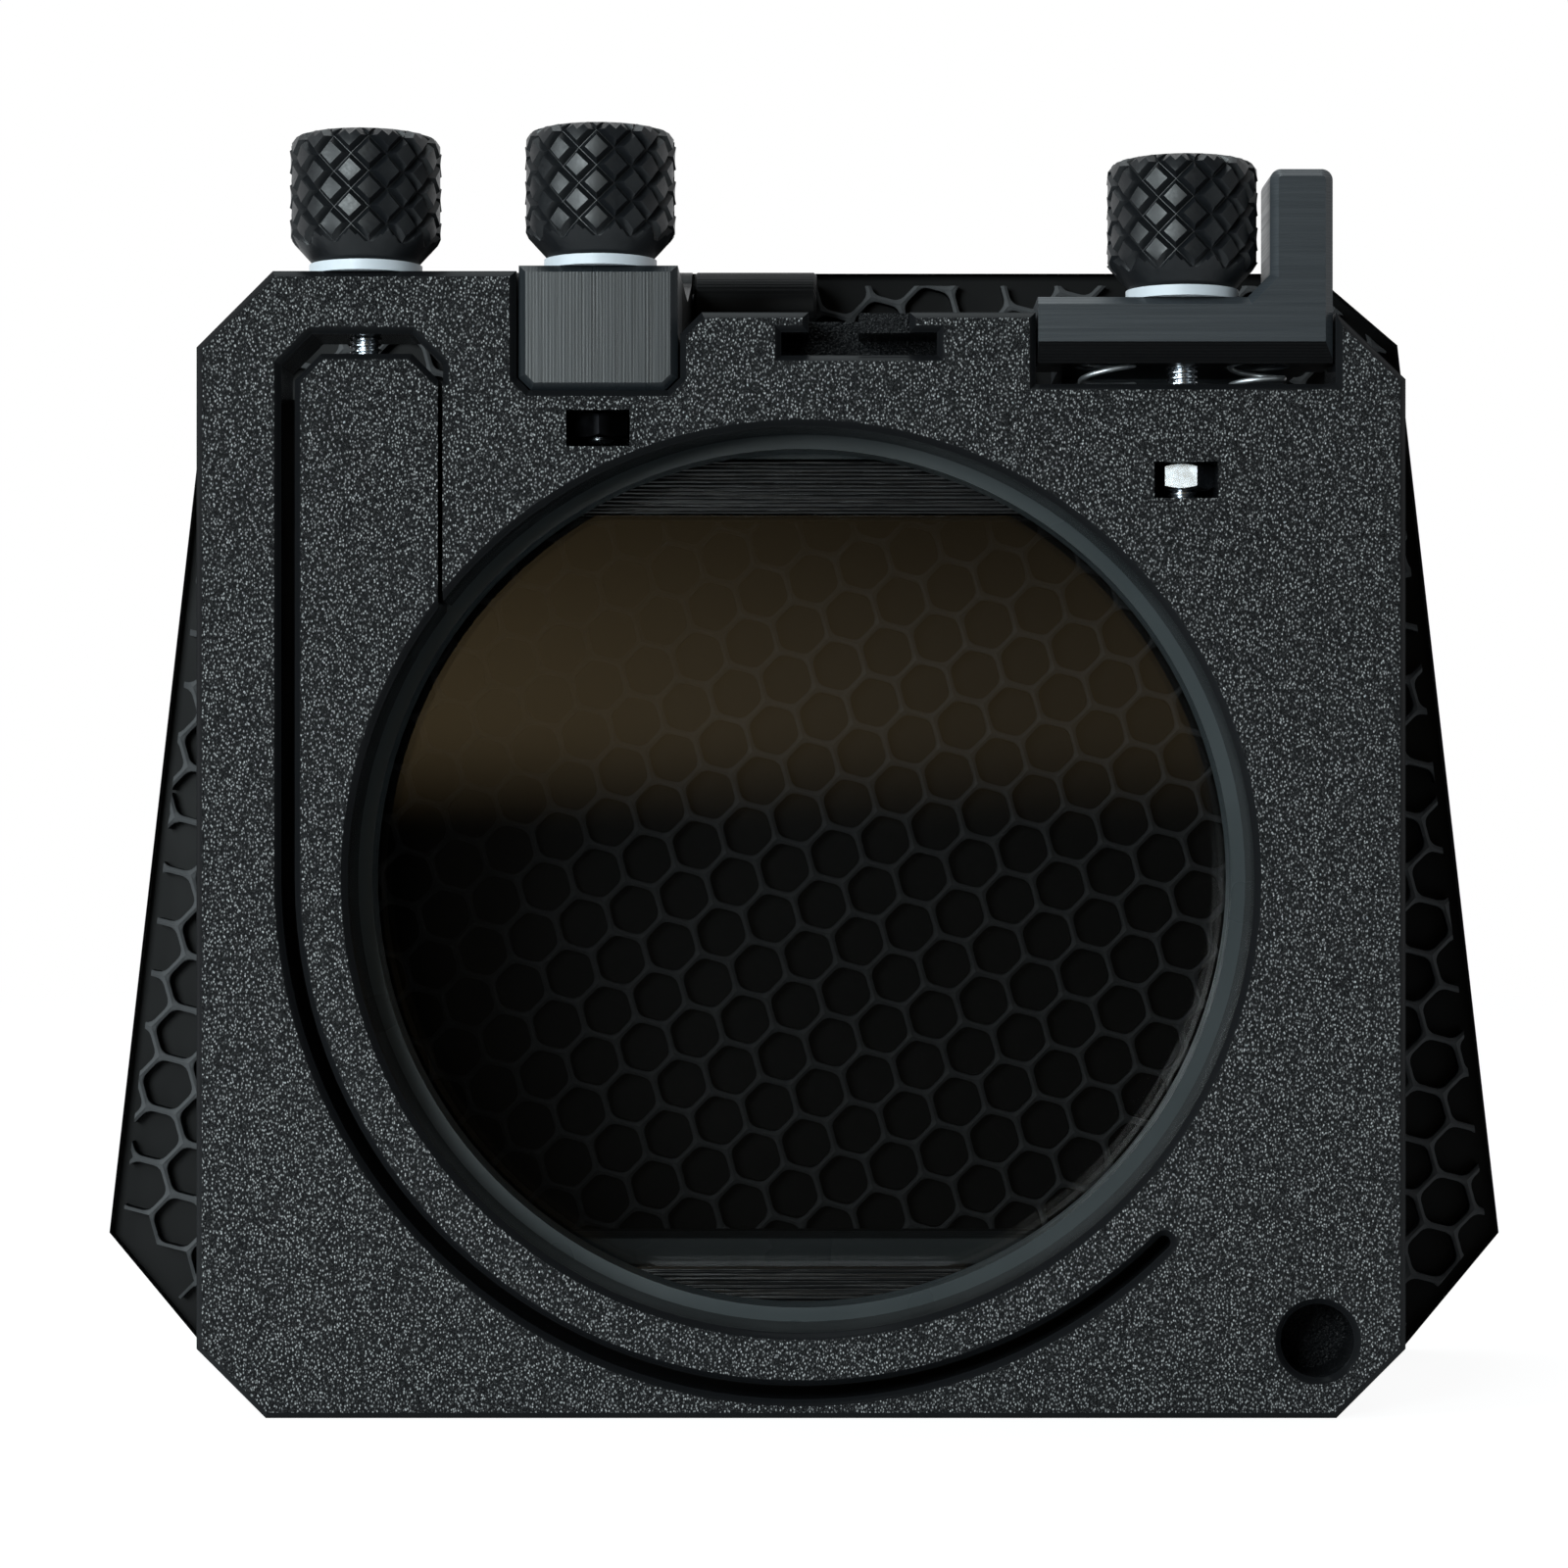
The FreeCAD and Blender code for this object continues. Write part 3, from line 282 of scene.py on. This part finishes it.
STAGE_BLACK = (0.034, 0.042, 0.045)
ARM_BLACK = (0.009, 0.0118, 0.0142)
BRACKET_BLACK = (0.032, 0.037, 0.042)
TRAY_BLACK = (0.004, 0.004, 0.0042)
# painted shade: the near-black colour and lower shine given to prints where shade falls
PAINTED_SHADE_BLACK, SHADED_SHINE = (0.003, 0.003, 0.0033), 0.1
LIP_RADIUS = 57.2 * MM
LINE_STRENGTH = 0.7
LINE_WANDER = 40.0


def undersides(tree):
    """Mask the faces of a print that look down, which are painted near-black as shade."""
    return remap(tree, coordinate(tree, "Normal", 2), -0.3, -0.12, 1, 0)


def outside_lip(tree):
    """Mask the stage's rear face outside the lip that shows in the bore, which is painted near-black as the
    plate's shadow.
    """
    across = scaled(tree, add_node(tree, "ShaderNodeTexCoord").outputs["Object"], (1, 0, 1))
    off_axis = add_node(tree, "ShaderNodeVectorMath", {0: across}, operation="LENGTH").outputs["Value"]
    return remap(tree, off_axis, LIP_RADIUS, LIP_RADIUS + 0.4 * MM, 0, 1)


def before_plate(tree):
    """Mask the part of the flag arm that reaches forward out of the plate, which is painted near-black as shade.
    """
    return remap(tree, coordinate(tree, "Object", 1), 1 * MM, 4 * MM, 0, 1)


def lined_print(name, colour, roughness, axis, pitch, depth, broken=0.5, shine=0.5, painted_shade=undersides):
    """Make a black print with fine lines that follow one another along an axis; a mask says where it is painted
    near-black as shade, with less shine.
    """
    material, tree, shader = plastic(name, colour, roughness)
    where = add_node(tree, "ShaderNodeTexCoord").outputs["Object"]
    number = "XYZ".index(axis)
    turn = calculate(tree, "MULTIPLY", coordinate(tree, "Object", number), 2 * math.pi / pitch)
    stretch = [LINE_WANDER] * 3
    stretch[number] = 1 / pitch
    wander = cloud(tree, scaled(tree, where, stretch), 1.0, 3.0)
    breaks = calculate(tree, "MULTIPLY", remap(tree, wander, 0.3, 0.7, -broken, broken), 2.0)
    lines = calculate(tree, "ADD", calculate(tree, "SINE", turn), breaks)
    emboss(tree, shader, lines, LINE_STRENGTH, depth)
    uneven = remap(tree, wander, 0.3, 0.7, roughness - 0.06, roughness + 0.08)
    tree.links.new(uneven, shader.inputs["Roughness"])
    # painted shade: where the mask says, the colour goes near-black and the shine drops
    mask = painted_shade(tree)
    tint(tree, shader, mask, colour, PAINTED_SHADE_BLACK)
    tree.links.new(remap(tree, mask, 0, 1, shine, SHADED_SHINE), shader.inputs["Specular IOR Level"])
    return material


dress("stage_housing", lined_print("smooth_black_print", STAGE_BLACK, 0.30, "Y", 0.4 * MM, 0.01 * MM,
                                   painted_shade=outside_lip))
dress("shade_hood", lined_print("shade_black_print", BLACK, 0.48, "Y", 0.4 * MM, 0.02 * MM))
dress("flag_arm", lined_print("streaked_black_print", ARM_BLACK, 0.33, "X", 0.42 * MM, 0.0025 * MM, broken=1.0,
                              painted_shade=before_plate))
dress("lock_bracket", lined_print("bracket_black_print", BRACKET_BLACK, 0.34, "Z", 0.36 * MM, 0.008 * MM))
tray_finish = lined_print("tray_black_print", TRAY_BLACK, 0.22, "Z", 0.5 * MM, 0.06 * MM, broken=0.8)
dress("filter_tray", tray_finish)
dress("tray_retainer", tray_finish)

# Filter glass: a dark neutral-density pane, polished on both faces, that takes more than half of the light.

GLASS_BLACK = (0.004, 0.0035, 0.003)
GLASS_INDEX = 1.6
GLASS_SHARE = 0.34

glass_finish, tree, shader = plastic("dark_glass", GLASS_BLACK, 0.02, 0.9)
shader.inputs["IOR"].default_value = GLASS_INDEX
shader.inputs["Alpha"].default_value = GLASS_SHARE
dress("filter_glass", glass_finish)

# Thumb knobs: moulded in satin black with raised diamonds all round, a plain cone below them and a rounded
# crown. Each is pressed on its screw and turns with it.

KNOB_BLACK = (0.0065, 0.0074, 0.0088)
DIAMONDS, ROWS = 12, range(-1, 8)
DIAMOND_HALF_HIGH = 2.2 * MM
KNURL_START = 2.0 * MM
KNURL_BASE = 8.6 * MM
KNURL_RISE = 1.0 * MM
VALLEY, SLOPE = 0.05 * MM, 0.74 * MM
FOOT_RADIUS = 6.55 * MM
CONE_HIGH, CROWN_ROUND = 3.3 * MM, 1.8 * MM


def trim(shape, high, near):
    """Cut a shape off at the foot and at a height."""
    for height, side in ((0, -1), (high, 1)):
        bmesh.ops.bisect_plane(shape, geom=shape.verts[:] + shape.edges[:] + shape.faces[:], dist=near,
                               plane_co=(0, 0, height), plane_no=(0, 0, side), clear_outer=True)


def turn_down(shape, limit):
    """Bring every point of a shape within the radius that its height allows."""
    for vert in shape.verts:
        reach, most = math.hypot(vert.co.x, vert.co.y), limit(vert.co.z)
        if reach > most:
            vert.co.xy = vert.co.xy * most / reach


def close_ends(shape):
    """Cap a shape's open ends and turn its faces outward."""
    bmesh.ops.holes_fill(shape, edges=[edge for edge in shape.edges if edge.is_boundary], sides=0)
    bmesh.ops.recalc_face_normals(shape, faces=shape.faces)


def finished(name, shape, body, material, replaced, crease):
    """Turn a shape into a piece that rides on a body and stands for a packed one."""
    mesh = bpy.data.meshes.new(name)
    shape.to_mesh(mesh)
    shape.free()
    mesh.materials.append(material)
    mesh.shade_smooth()
    mesh.set_sharp_from_angle(angle=math.radians(crease))
    piece = bpy.data.objects.new(name, mesh)
    bpy.context.scene.collection.objects.link(piece)
    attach(piece, body)
    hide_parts(replaced)
    return piece


def knob_limit(height, radius, high):
    """Give the largest radius of a knob at a height: its cone, its side and its crown."""
    if height < CONE_HIGH:
        return FOOT_RADIUS + (radius - FOOT_RADIUS) * height / CONE_HIGH
    over = height - (high - CROWN_ROUND)
    if over > 0:
        return radius - CROWN_ROUND + math.sqrt(max(CROWN_ROUND ** 2 - over ** 2, 0))
    return radius


knob_finish, tree, shader = plastic("satin_black_plastic", KNOB_BLACK, 0.42, 0.42)
haze = cloud(tree, add_node(tree, "ShaderNodeTexCoord").outputs["Object"], 2600.0, 2.0)
emboss(tree, shader, haze, 0.25, 0.03 * MM)
tree.links.new(remap(tree, haze, 0.3, 0.7, 0.32, 0.44), shader.inputs["Roughness"])

for name, turned in (("clamp_knob", -6), ("arm_knob", -15), ("lock_knob", -10)):
    low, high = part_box(name)
    middle = (low + high) / 2
    radius, tall = (high.x - low.x) / 2, high.z - low.z
    knob = bmesh.new()
    step = 2 * math.pi / DIAMONDS
    for row in ROWS:
        centre = KNURL_START + row * DIAMOND_HALF_HIGH
        start = (row % 2 / 2) * step
        for column in range(DIAMONDS):
            corners = []
            for across, up in ((-0.5, 0), (0, -1), (0.5, 0), (0, 1)):
                angle = start + (column + across) * step
                corners.append(knob.verts.new((KNURL_BASE * math.cos(angle), KNURL_BASE * math.sin(angle),
                                               centre + up * DIAMOND_HALF_HIGH)))
            knob.faces.new(corners)
    bmesh.ops.remove_doubles(knob, verts=knob.verts, dist=0.01 * MM)
    diamonds = knob.faces[:]
    bmesh.ops.inset_individual(knob, faces=diamonds, thickness=VALLEY)
    bmesh.ops.inset_individual(knob, faces=diamonds, thickness=SLOPE, depth=KNURL_RISE)
    bmesh.ops.subdivide_edges(knob, edges=knob.edges[:], cuts=1, use_grid_fill=True)
    trim(knob, tall, 0.001 * MM)
    turn_down(knob, lambda height: knob_limit(height, radius, tall))
    close_ends(knob)
    bmesh.ops.rotate(knob, verts=knob.verts, matrix=Matrix.Rotation(math.radians(turned), 3, "Z"))
    bmesh.ops.translate(knob, verts=knob.verts, vec=(middle.x, middle.y, low.z))
    finished("knurled_" + name, knob, name.replace("_knob", "_turn"), knob_finish, name, 28)

# Knob screws: M4 studs of zinc-plated steel, each pressed into its knob, cut with a running thread and pointed
# at its lower end.

THREAD_PITCH, THREAD_DEEP = 0.7 * MM, 0.42 * MM
THREAD_FORM = ((THREAD_DEEP, 0.05), (THREAD_DEEP, 0.15), (0, 0.5), (0, 0.7))
THREAD_STEPS = 28
POINT_HIGH = THREAD_PITCH
# the black oxide colour is the small screws' own finish, kept very dark so that it also serves as painted shade
# on the flag arm's nut
ZINC, OXIDE_AND_SHADE = (0.55, 0.58, 0.62), (0.008, 0.008, 0.009)


def metal(name, colour, low, high, grain):
    """Make a plated metal whose polish varies between two roughnesses."""
    material, tree, shader = plastic(name, colour, low)
    shader.inputs["Metallic"].default_value = 1.0
    worn = cloud(tree, add_node(tree, "ShaderNodeTexCoord").outputs["Object"], grain, 3.0)
    tree.links.new(remap(tree, worn, 0.3, 0.7, low, high), shader.inputs["Roughness"])
    return material


zinc = metal("zinc_plate", ZINC, 0.20, 0.30, 900.0)
black_oxide_and_shade = metal("black_oxide_and_shade", OXIDE_AND_SHADE, 0.3, 0.45, 1200.0)

for name in ("clamp_screw", "arm_screw", "lock_screw"):
    low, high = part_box(name)
    middle = (low + high) / 2
    radius, long = (high.x - low.x) / 2, high.z - low.z
    stud = bmesh.new()
    outline = []
    for turn in range(-2, int(long / THREAD_PITCH) + 2):
        for inward, up in THREAD_FORM:
            outline.append(stud.verts.new((radius - inward, 0, (turn + up) * THREAD_PITCH)))
    edges = [stud.edges.new(pair) for pair in zip(outline, outline[1:])]
    bmesh.ops.spin(stud, geom=outline + edges, cent=(0, 0, 0), axis=(0, 0, 1), angle=2 * math.pi,
                   steps=THREAD_STEPS, dvec=(0, 0, THREAD_PITCH / THREAD_STEPS))
    bmesh.ops.remove_doubles(stud, verts=stud.verts, dist=0.004 * MM)
    trim(stud, long, 0.0001 * MM)
    turn_down(stud, lambda height: radius - POINT_HIGH + height)
    close_ends(stud)
    bmesh.ops.translate(stud, verts=stud.verts, vec=(middle.x, middle.y, low.z))
    finished("threaded_" + name, stud, name.replace("_screw", "_turn"), zinc, name, 35)

# Nuts: M4 hexagon nuts with the usual cone-cut corners, plated with zinc; the flag arm's nut is shown black as
# painted shade in its deep pocket.
# They sit in printed pockets; the hinge nut lies on its side in the flag's right ear.

NUT_BORE = 1.95 * MM
NUT_FLATS = 7 * MM
NUT_LAND = 0.96
NUT_CONE = math.tan(math.radians(30))
ROUND_STEPS = 48


def hexagon_reach(angle, flats):
    """Give how far a hexagon reaches from its middle in a direction."""
    sixth = math.pi / 3
    return flats / 2 / math.cos((angle + sixth / 2) % sixth - sixth / 2)


def banded(rings):
    """Close a band of rings about the vertical axis; each ring gives its reach and height for a direction."""
    shape = bmesh.new()
    bmesh.ops.create_circle(shape, segments=ROUND_STEPS, radius=1)
    verts, edges = shape.verts[:], shape.edges[:]
    for number, ring in enumerate(rings):
        if number:
            made = bmesh.ops.extrude_edge_only(shape, edges=edges)["geom"]
            verts = [item for item in made if isinstance(item, bmesh.types.BMVert)]
            edges = [item for item in made if isinstance(item, bmesh.types.BMEdge) and item.is_boundary]
        for vert in verts:
            angle = math.atan2(vert.co.y, vert.co.x)
            reach, height = ring(angle)
            vert.co = (reach * math.cos(angle), reach * math.sin(angle), height)
    bmesh.ops.bridge_loops(shape, edges=[edge for edge in shape.edges if edge.is_boundary])
    bmesh.ops.recalc_face_normals(shape, faces=shape.faces)
    return shape


def hexagon_nut(flats, high):
    """Run a nut's skin from its bore over its cone-cut faces and back."""
    land = flats / 2 * NUT_LAND

    def cut(angle, height, fall):
        """Give a face's outer edge, which a cone cuts at the corners."""
        reach = hexagon_reach(angle, flats)
        return reach, height + fall * (reach - land) * NUT_CONE

    return banded((lambda angle: (NUT_BORE, 0), lambda angle: (land, 0), lambda angle: cut(angle, 0, 1),
                   lambda angle: cut(angle, high, -1), lambda angle: (land, high),
                   lambda angle: (NUT_BORE, high)))


# the flag arm's nut takes the black finish as painted shade, for it sits deep in a dark pocket
for name, turned, finish in (("clamp_nut", 0, zinc), ("arm_nut", 0, black_oxide_and_shade), ("lock_nut", 23, zinc)):
    low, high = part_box(name)
    nut = hexagon_nut(NUT_FLATS, high.z - low.z)
    bmesh.ops.rotate(nut, verts=nut.verts, matrix=Matrix.Rotation(math.radians(turned), 3, "Z"))
    bmesh.ops.translate(nut, verts=nut.verts, vec=((low.x + high.x) / 2, (low.y + high.y) / 2, low.z))
    finished("cut_" + name, nut, "stage", finish, name, 20)

low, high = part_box("hinge_nut")
nut = hexagon_nut(NUT_FLATS, high.x - low.x)
bmesh.ops.rotate(nut, verts=nut.verts, matrix=Matrix.Rotation(math.radians(90), 3, "Y"))
bmesh.ops.translate(nut, verts=nut.verts, vec=(low.x, (low.y + high.y) / 2, (low.z + high.z) / 2))
finished("cut_hinge_nut", nut, "flag", zinc, "hinge_nut", 20)

# Washers and small fasteners: natural nylon washers under the knobs, black socket-head screws, brass inserts
# and the black hinge bolt.

NYLON, BRASS = (0.58, 0.62, 0.66), (0.72, 0.52, 0.24)
NYLON_DEPTH = 0.6 * MM

nylon, tree, shader = plastic("white_nylon", NYLON, 0.42)
shader.inputs["Subsurface Weight"].default_value = 0.15
shader.inputs["Subsurface Radius"].default_value = (NYLON_DEPTH, NYLON_DEPTH, NYLON_DEPTH)
flow = cloud(tree, add_node(tree, "ShaderNodeTexCoord").outputs["Object"], 700.0, 2.0)
tree.links.new(remap(tree, flow, 0.3, 0.7, 0.36, 0.5), shader.inputs["Roughness"])
for name in ("clamp_washer", "arm_washer", "lock_washer"):
    dress(name, nylon)
for name in ("stage_screws", "shade_screws", "hinge_bolt"):
    dress(name, black_oxide_and_shade)
brass = metal("turned_brass", BRASS, 0.25, 0.4, 1200.0)
for name in ("stage_inserts", "shade_inserts"):
    dress(name, brass)

# Lock springs: two open coils of drawn steel wire with closed ends. They stand in wells in the plate and hold
# the bracket up by its cups.

WIRE, WIRE_SIDES = 0.35 * MM, 10
COIL = 3.4 * MM
COIL_STEPS = 32
ACTIVE_PITCH = 2.5 * MM
CLOSED_RISE = 2.1 * WIRE

bright_wire = metal("bright_wire", (0.62, 0.64, 0.66), 0.42, 0.55, 1500.0)

for name, start, lean in (("lock_spring_left", -65, 0.10), ("lock_spring_right", 108, -0.035)):
    low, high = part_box(name)
    middle = (low + high) / 2
    spring = bmesh.new()
    upright = Matrix.Translation((COIL, 0, low.z + WIRE)) @ Matrix.Rotation(math.radians(90), 4, "X")
    ring = bmesh.ops.create_circle(spring, segments=WIRE_SIDES, radius=WIRE, matrix=upright)["verts"]
    geometry = ring + list({edge for vert in ring for edge in vert.link_edges})
    active_rise = high.z - low.z - 2 * WIRE - 2 * CLOSED_RISE
    for turns, rise in ((1, CLOSED_RISE), (active_rise / ACTIVE_PITCH, active_rise), (1, CLOSED_RISE)):
        steps = round(COIL_STEPS * turns)
        made = bmesh.ops.spin(spring, geom=geometry, cent=(0, 0, 0), axis=(0, 0, 1), angle=2 * math.pi * turns,
                              steps=steps, dvec=(0, 0, rise / steps))
        geometry = made["geom_last"]
    bmesh.ops.remove_doubles(spring, verts=spring.verts, dist=0.001 * MM)
    close_ends(spring)
    bmesh.ops.rotate(spring, verts=spring.verts, matrix=Matrix.Rotation(math.radians(start), 3, "Z"))
    for vert in spring.verts:
        vert.co.z += lean * vert.co.x
    bmesh.ops.translate(spring, verts=spring.verts, vec=(middle.x, middle.y, 0))
    piece = finished("coiled_" + name, spring, "stage", bright_wire, name, 60)
    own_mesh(piece)

# Top flag: one black print, a thin outer skin with a rim and a honeycomb of ribs on the inside, and two ears
# for the hinge bolt. Each cell is a rounded hexagon, as the printer draws it, with a blob where lines meet.

CELL_PITCH, CELL_RIB, CELL_ROUND = 7.375 * MM, 0.85 * MM, 0.9 * MM
CELL_TURN = Matrix.Rotation(math.radians(15.4), 3, "Z")
CELL_PLACE = Vector((9.63, -2.54)) * MM
CELL_ROWS, CELL_COLUMNS = range(-15, 17), range(-17, 18)
HEXAGON_RADIUS = CELL_PITCH / math.sqrt(3)
# the rib grey is painted light on the rib tops; the flag black also stands as painted shade in the cells
FLAG_BLACK, PAINTED_RIB_LIGHT = (0.003, 0.003, 0.0032), (0.06, 0.061, 0.063)
FLAG_REAR = 50.5 * MM
RIM, SKIN, RIB_ROUND, BLOB = 1.7 * MM, 0.8 * MM, 0.16 * MM, 0.12 * MM
FLAG_CORNERS = [Vector(corner) * MM for corner in (
    (-84.9, -66.7), (84.9, -66.7), (98.1, -50.8), (83.8, 74.5), (72.0, 84.6), (-72.0, 84.6), (-83.8, 74.5),
    (-98.1, -50.8))]

rib_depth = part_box("flag_panel")[1].y - SKIN - FLAG_REAR - BLOB

# one cell: a rounded opening, its worn lip, and flat ribs out to the hexagon that it shares with its neighbours
flag = bmesh.new()
bmesh.ops.create_circle(flag, cap_ends=True, segments=6, radius=HEXAGON_RADIUS - CELL_RIB / math.sqrt(3))
bmesh.ops.bevel(flag, geom=flag.verts[:], offset=CELL_ROUND, segments=3, profile=0.5, affect="VERTICES",
                material=-1)
hexagon = [Vector((math.sin(number * math.pi / 3), math.cos(number * math.pi / 3), 0)) * HEXAGON_RADIUS
           for number in range(6)]
opening, edges = flag.faces[:], flag.edges[:]
for vert in flag.verts:
    vert.co.z = -RIB_ROUND
for ring in ("lip", "rib"):
    made = bmesh.ops.extrude_edge_only(flag, edges=edges)["geom"]
    edges = [item for item in made if isinstance(item, bmesh.types.BMEdge) and item.is_boundary]
    for vert in {vert for edge in edges for vert in edge.verts}:
        if ring == "lip":
            vert.co = vert.co.xyz * (1 + RIB_ROUND / vert.co.xy.length)
            vert.co.z = 0
        else:
            vert.co = min(hexagon, key=lambda corner: (corner - vert.co).length) + Vector((0, 0, BLOB))
bmesh.ops.delete(flag, geom=opening, context="FACES_ONLY")
bmesh.ops.remove_doubles(flag, verts=flag.verts, dist=0.01 * MM)
bmesh.ops.rotate(flag, verts=flag.verts, matrix=CELL_TURN)

# copies of the cell in rows, cut along the rim's inner edges, and their walls down to the skin
cell = flag.verts[:] + flag.edges[:] + flag.faces[:]
along = CELL_TURN @ Vector((CELL_PITCH, 0, 0))
upward = CELL_TURN @ Vector((0, CELL_PITCH * math.sqrt(3) / 2, 0))
reach = max(corner.length for corner in FLAG_CORNERS)
for row in CELL_ROWS:
    for column in CELL_COLUMNS:
        place = along * (column + row % 2 / 2) + upward * row
        if (row or column) and place.length < reach:
            copied = bmesh.ops.duplicate(flag, geom=cell)["geom"]
            bmesh.ops.translate(flag, verts=[item for item in copied if isinstance(item, bmesh.types.BMVert)],
                                vec=place)
bmesh.ops.remove_doubles(flag, verts=flag.verts, dist=0.01 * MM)
bmesh.ops.translate(flag, verts=flag.verts, vec=(*CELL_PLACE, 0))
for here, there in zip(FLAG_CORNERS, FLAG_CORNERS[1:] + FLAG_CORNERS[:1]):
    outward = Vector((there.y - here.y, here.x - there.x)).normalized()
    bmesh.ops.bisect_plane(flag, geom=flag.verts[:] + flag.edges[:] + flag.faces[:], dist=1e-7,
                           plane_co=(*(here - outward * RIM), 0), plane_no=(*outward, 0), clear_outer=True)
made = bmesh.ops.extrude_face_region(flag, geom=flag.faces[:], use_keep_orig=True)["geom"]
for vert in [item for item in made if isinstance(item, bmesh.types.BMVert)]:
    vert.co.z = -rib_depth
bmesh.ops.delete(flag, geom=[item for item in made if isinstance(item, bmesh.types.BMFace)],
                 context="FACES_ONLY")

# the rim and the skin, each from the outline
for inner, top, bottom in ((RIM, 0, -rib_depth), (None, -rib_depth, -rib_depth - SKIN)):
    outline = [flag.verts.new((*corner, top)) for corner in FLAG_CORNERS]
    face = flag.faces.new(outline)
    if inner:
        bmesh.ops.inset_individual(flag, faces=[face], thickness=inner, use_even_offset=True)
        rim = [other for edge in face.edges for other in edge.link_faces if other != face]
        bmesh.ops.delete(flag, geom=[face], context="FACES_ONLY")
    else:
        rim = [face]
    made = bmesh.ops.extrude_face_region(flag, geom=rim, use_keep_orig=True)["geom"]
    for vert in [item for item in made if isinstance(item, bmesh.types.BMVert)]:
        vert.co.z = bottom
bmesh.ops.recalc_face_normals(flag, faces=flag.faces)
for vert in flag.verts:
    vert.co = (vert.co.x, FLAG_REAR + BLOB - vert.co.z, vert.co.y)
bmesh.ops.reverse_faces(flag, faces=flag.faces)

# the ears: an outline about the hinge, with the bolt's eye, and in the right ear the nut's pocket
HINGE_Y, HINGE_Z, KNUCKLE = 44 * MM, 78.8 * MM, 5 * MM
EYE, POCKET_DEEP, POCKET_FLATS = 2.06 * MM, 4.35 * MM, 7.3 * MM
EAR_REACH = FLAG_REAR + 0.5 * MM - HINGE_Y
EAR_EDGE = 0.4 * MM


def ear_side(angle):
    """Give how far an ear reaches from its hinge: round behind it, square towards the flag."""
    forward, sideways = math.cos(angle), abs(math.sin(angle))
    if forward <= 0:
        return KNUCKLE
    return min(EAR_REACH / forward, KNUCKLE / max(sideways, 1e-6))


for start, end, pocket in ((-47.8 * MM, -35.8 * MM, 0), (-15.2 * MM, 1.8 * MM, POCKET_DEEP)):
    wide = end - start
    rings = [lambda angle: (EYE, 0), lambda angle: (ear_side(angle) - EAR_EDGE, 0),
             lambda angle: (ear_side(angle), EAR_EDGE), lambda angle: (ear_side(angle), wide - EAR_EDGE),
             lambda angle: (ear_side(angle) - EAR_EDGE, wide)]
    if pocket:
        rings += [lambda angle: (hexagon_reach(angle, POCKET_FLATS), wide),
                  lambda angle: (hexagon_reach(angle, POCKET_FLATS), wide - pocket)]
    rings.append(lambda angle: (EYE, wide - pocket))
    ear = banded(rings)
    for vert in ear.verts:
        vert.co = (start + vert.co.z, HINGE_Y + vert.co.x, HINGE_Z + vert.co.y)
    bmesh.ops.recalc_face_normals(ear, faces=ear.faces)
    ear_mesh = bpy.data.meshes.new("ear")
    ear.to_mesh(ear_mesh)
    ear.free()
    flag.from_mesh(ear_mesh)
    bpy.data.meshes.remove(ear_mesh)

flag_finish = lined_print("flag_black_print", FLAG_BLACK, 0.5, "Y", 0.3 * MM, 0.015 * MM, shine=0.12)
tree = flag_finish.node_tree
depth = coordinate(tree, "Object", 1)
# painted light and shade: the rib tops painted lighter as if lit, the cell floors and everything deeper left
# near-black as shade
painted_lit_ribs = calculate(tree, "MULTIPLY", remap(tree, depth, FLAG_REAR + 0.25 * MM, FLAG_REAR + 0.9 * MM, 1, 0),
                   remap(tree, depth, FLAG_REAR - 0.6 * MM, FLAG_REAR - 0.3 * MM, 0, 1))
tint(tree, tree.nodes["Principled BSDF"], painted_lit_ribs, FLAG_BLACK, PAINTED_RIB_LIGHT)
finished("honeycomb_flag", flag, "flag", flag_finish, "flag_panel", 30)
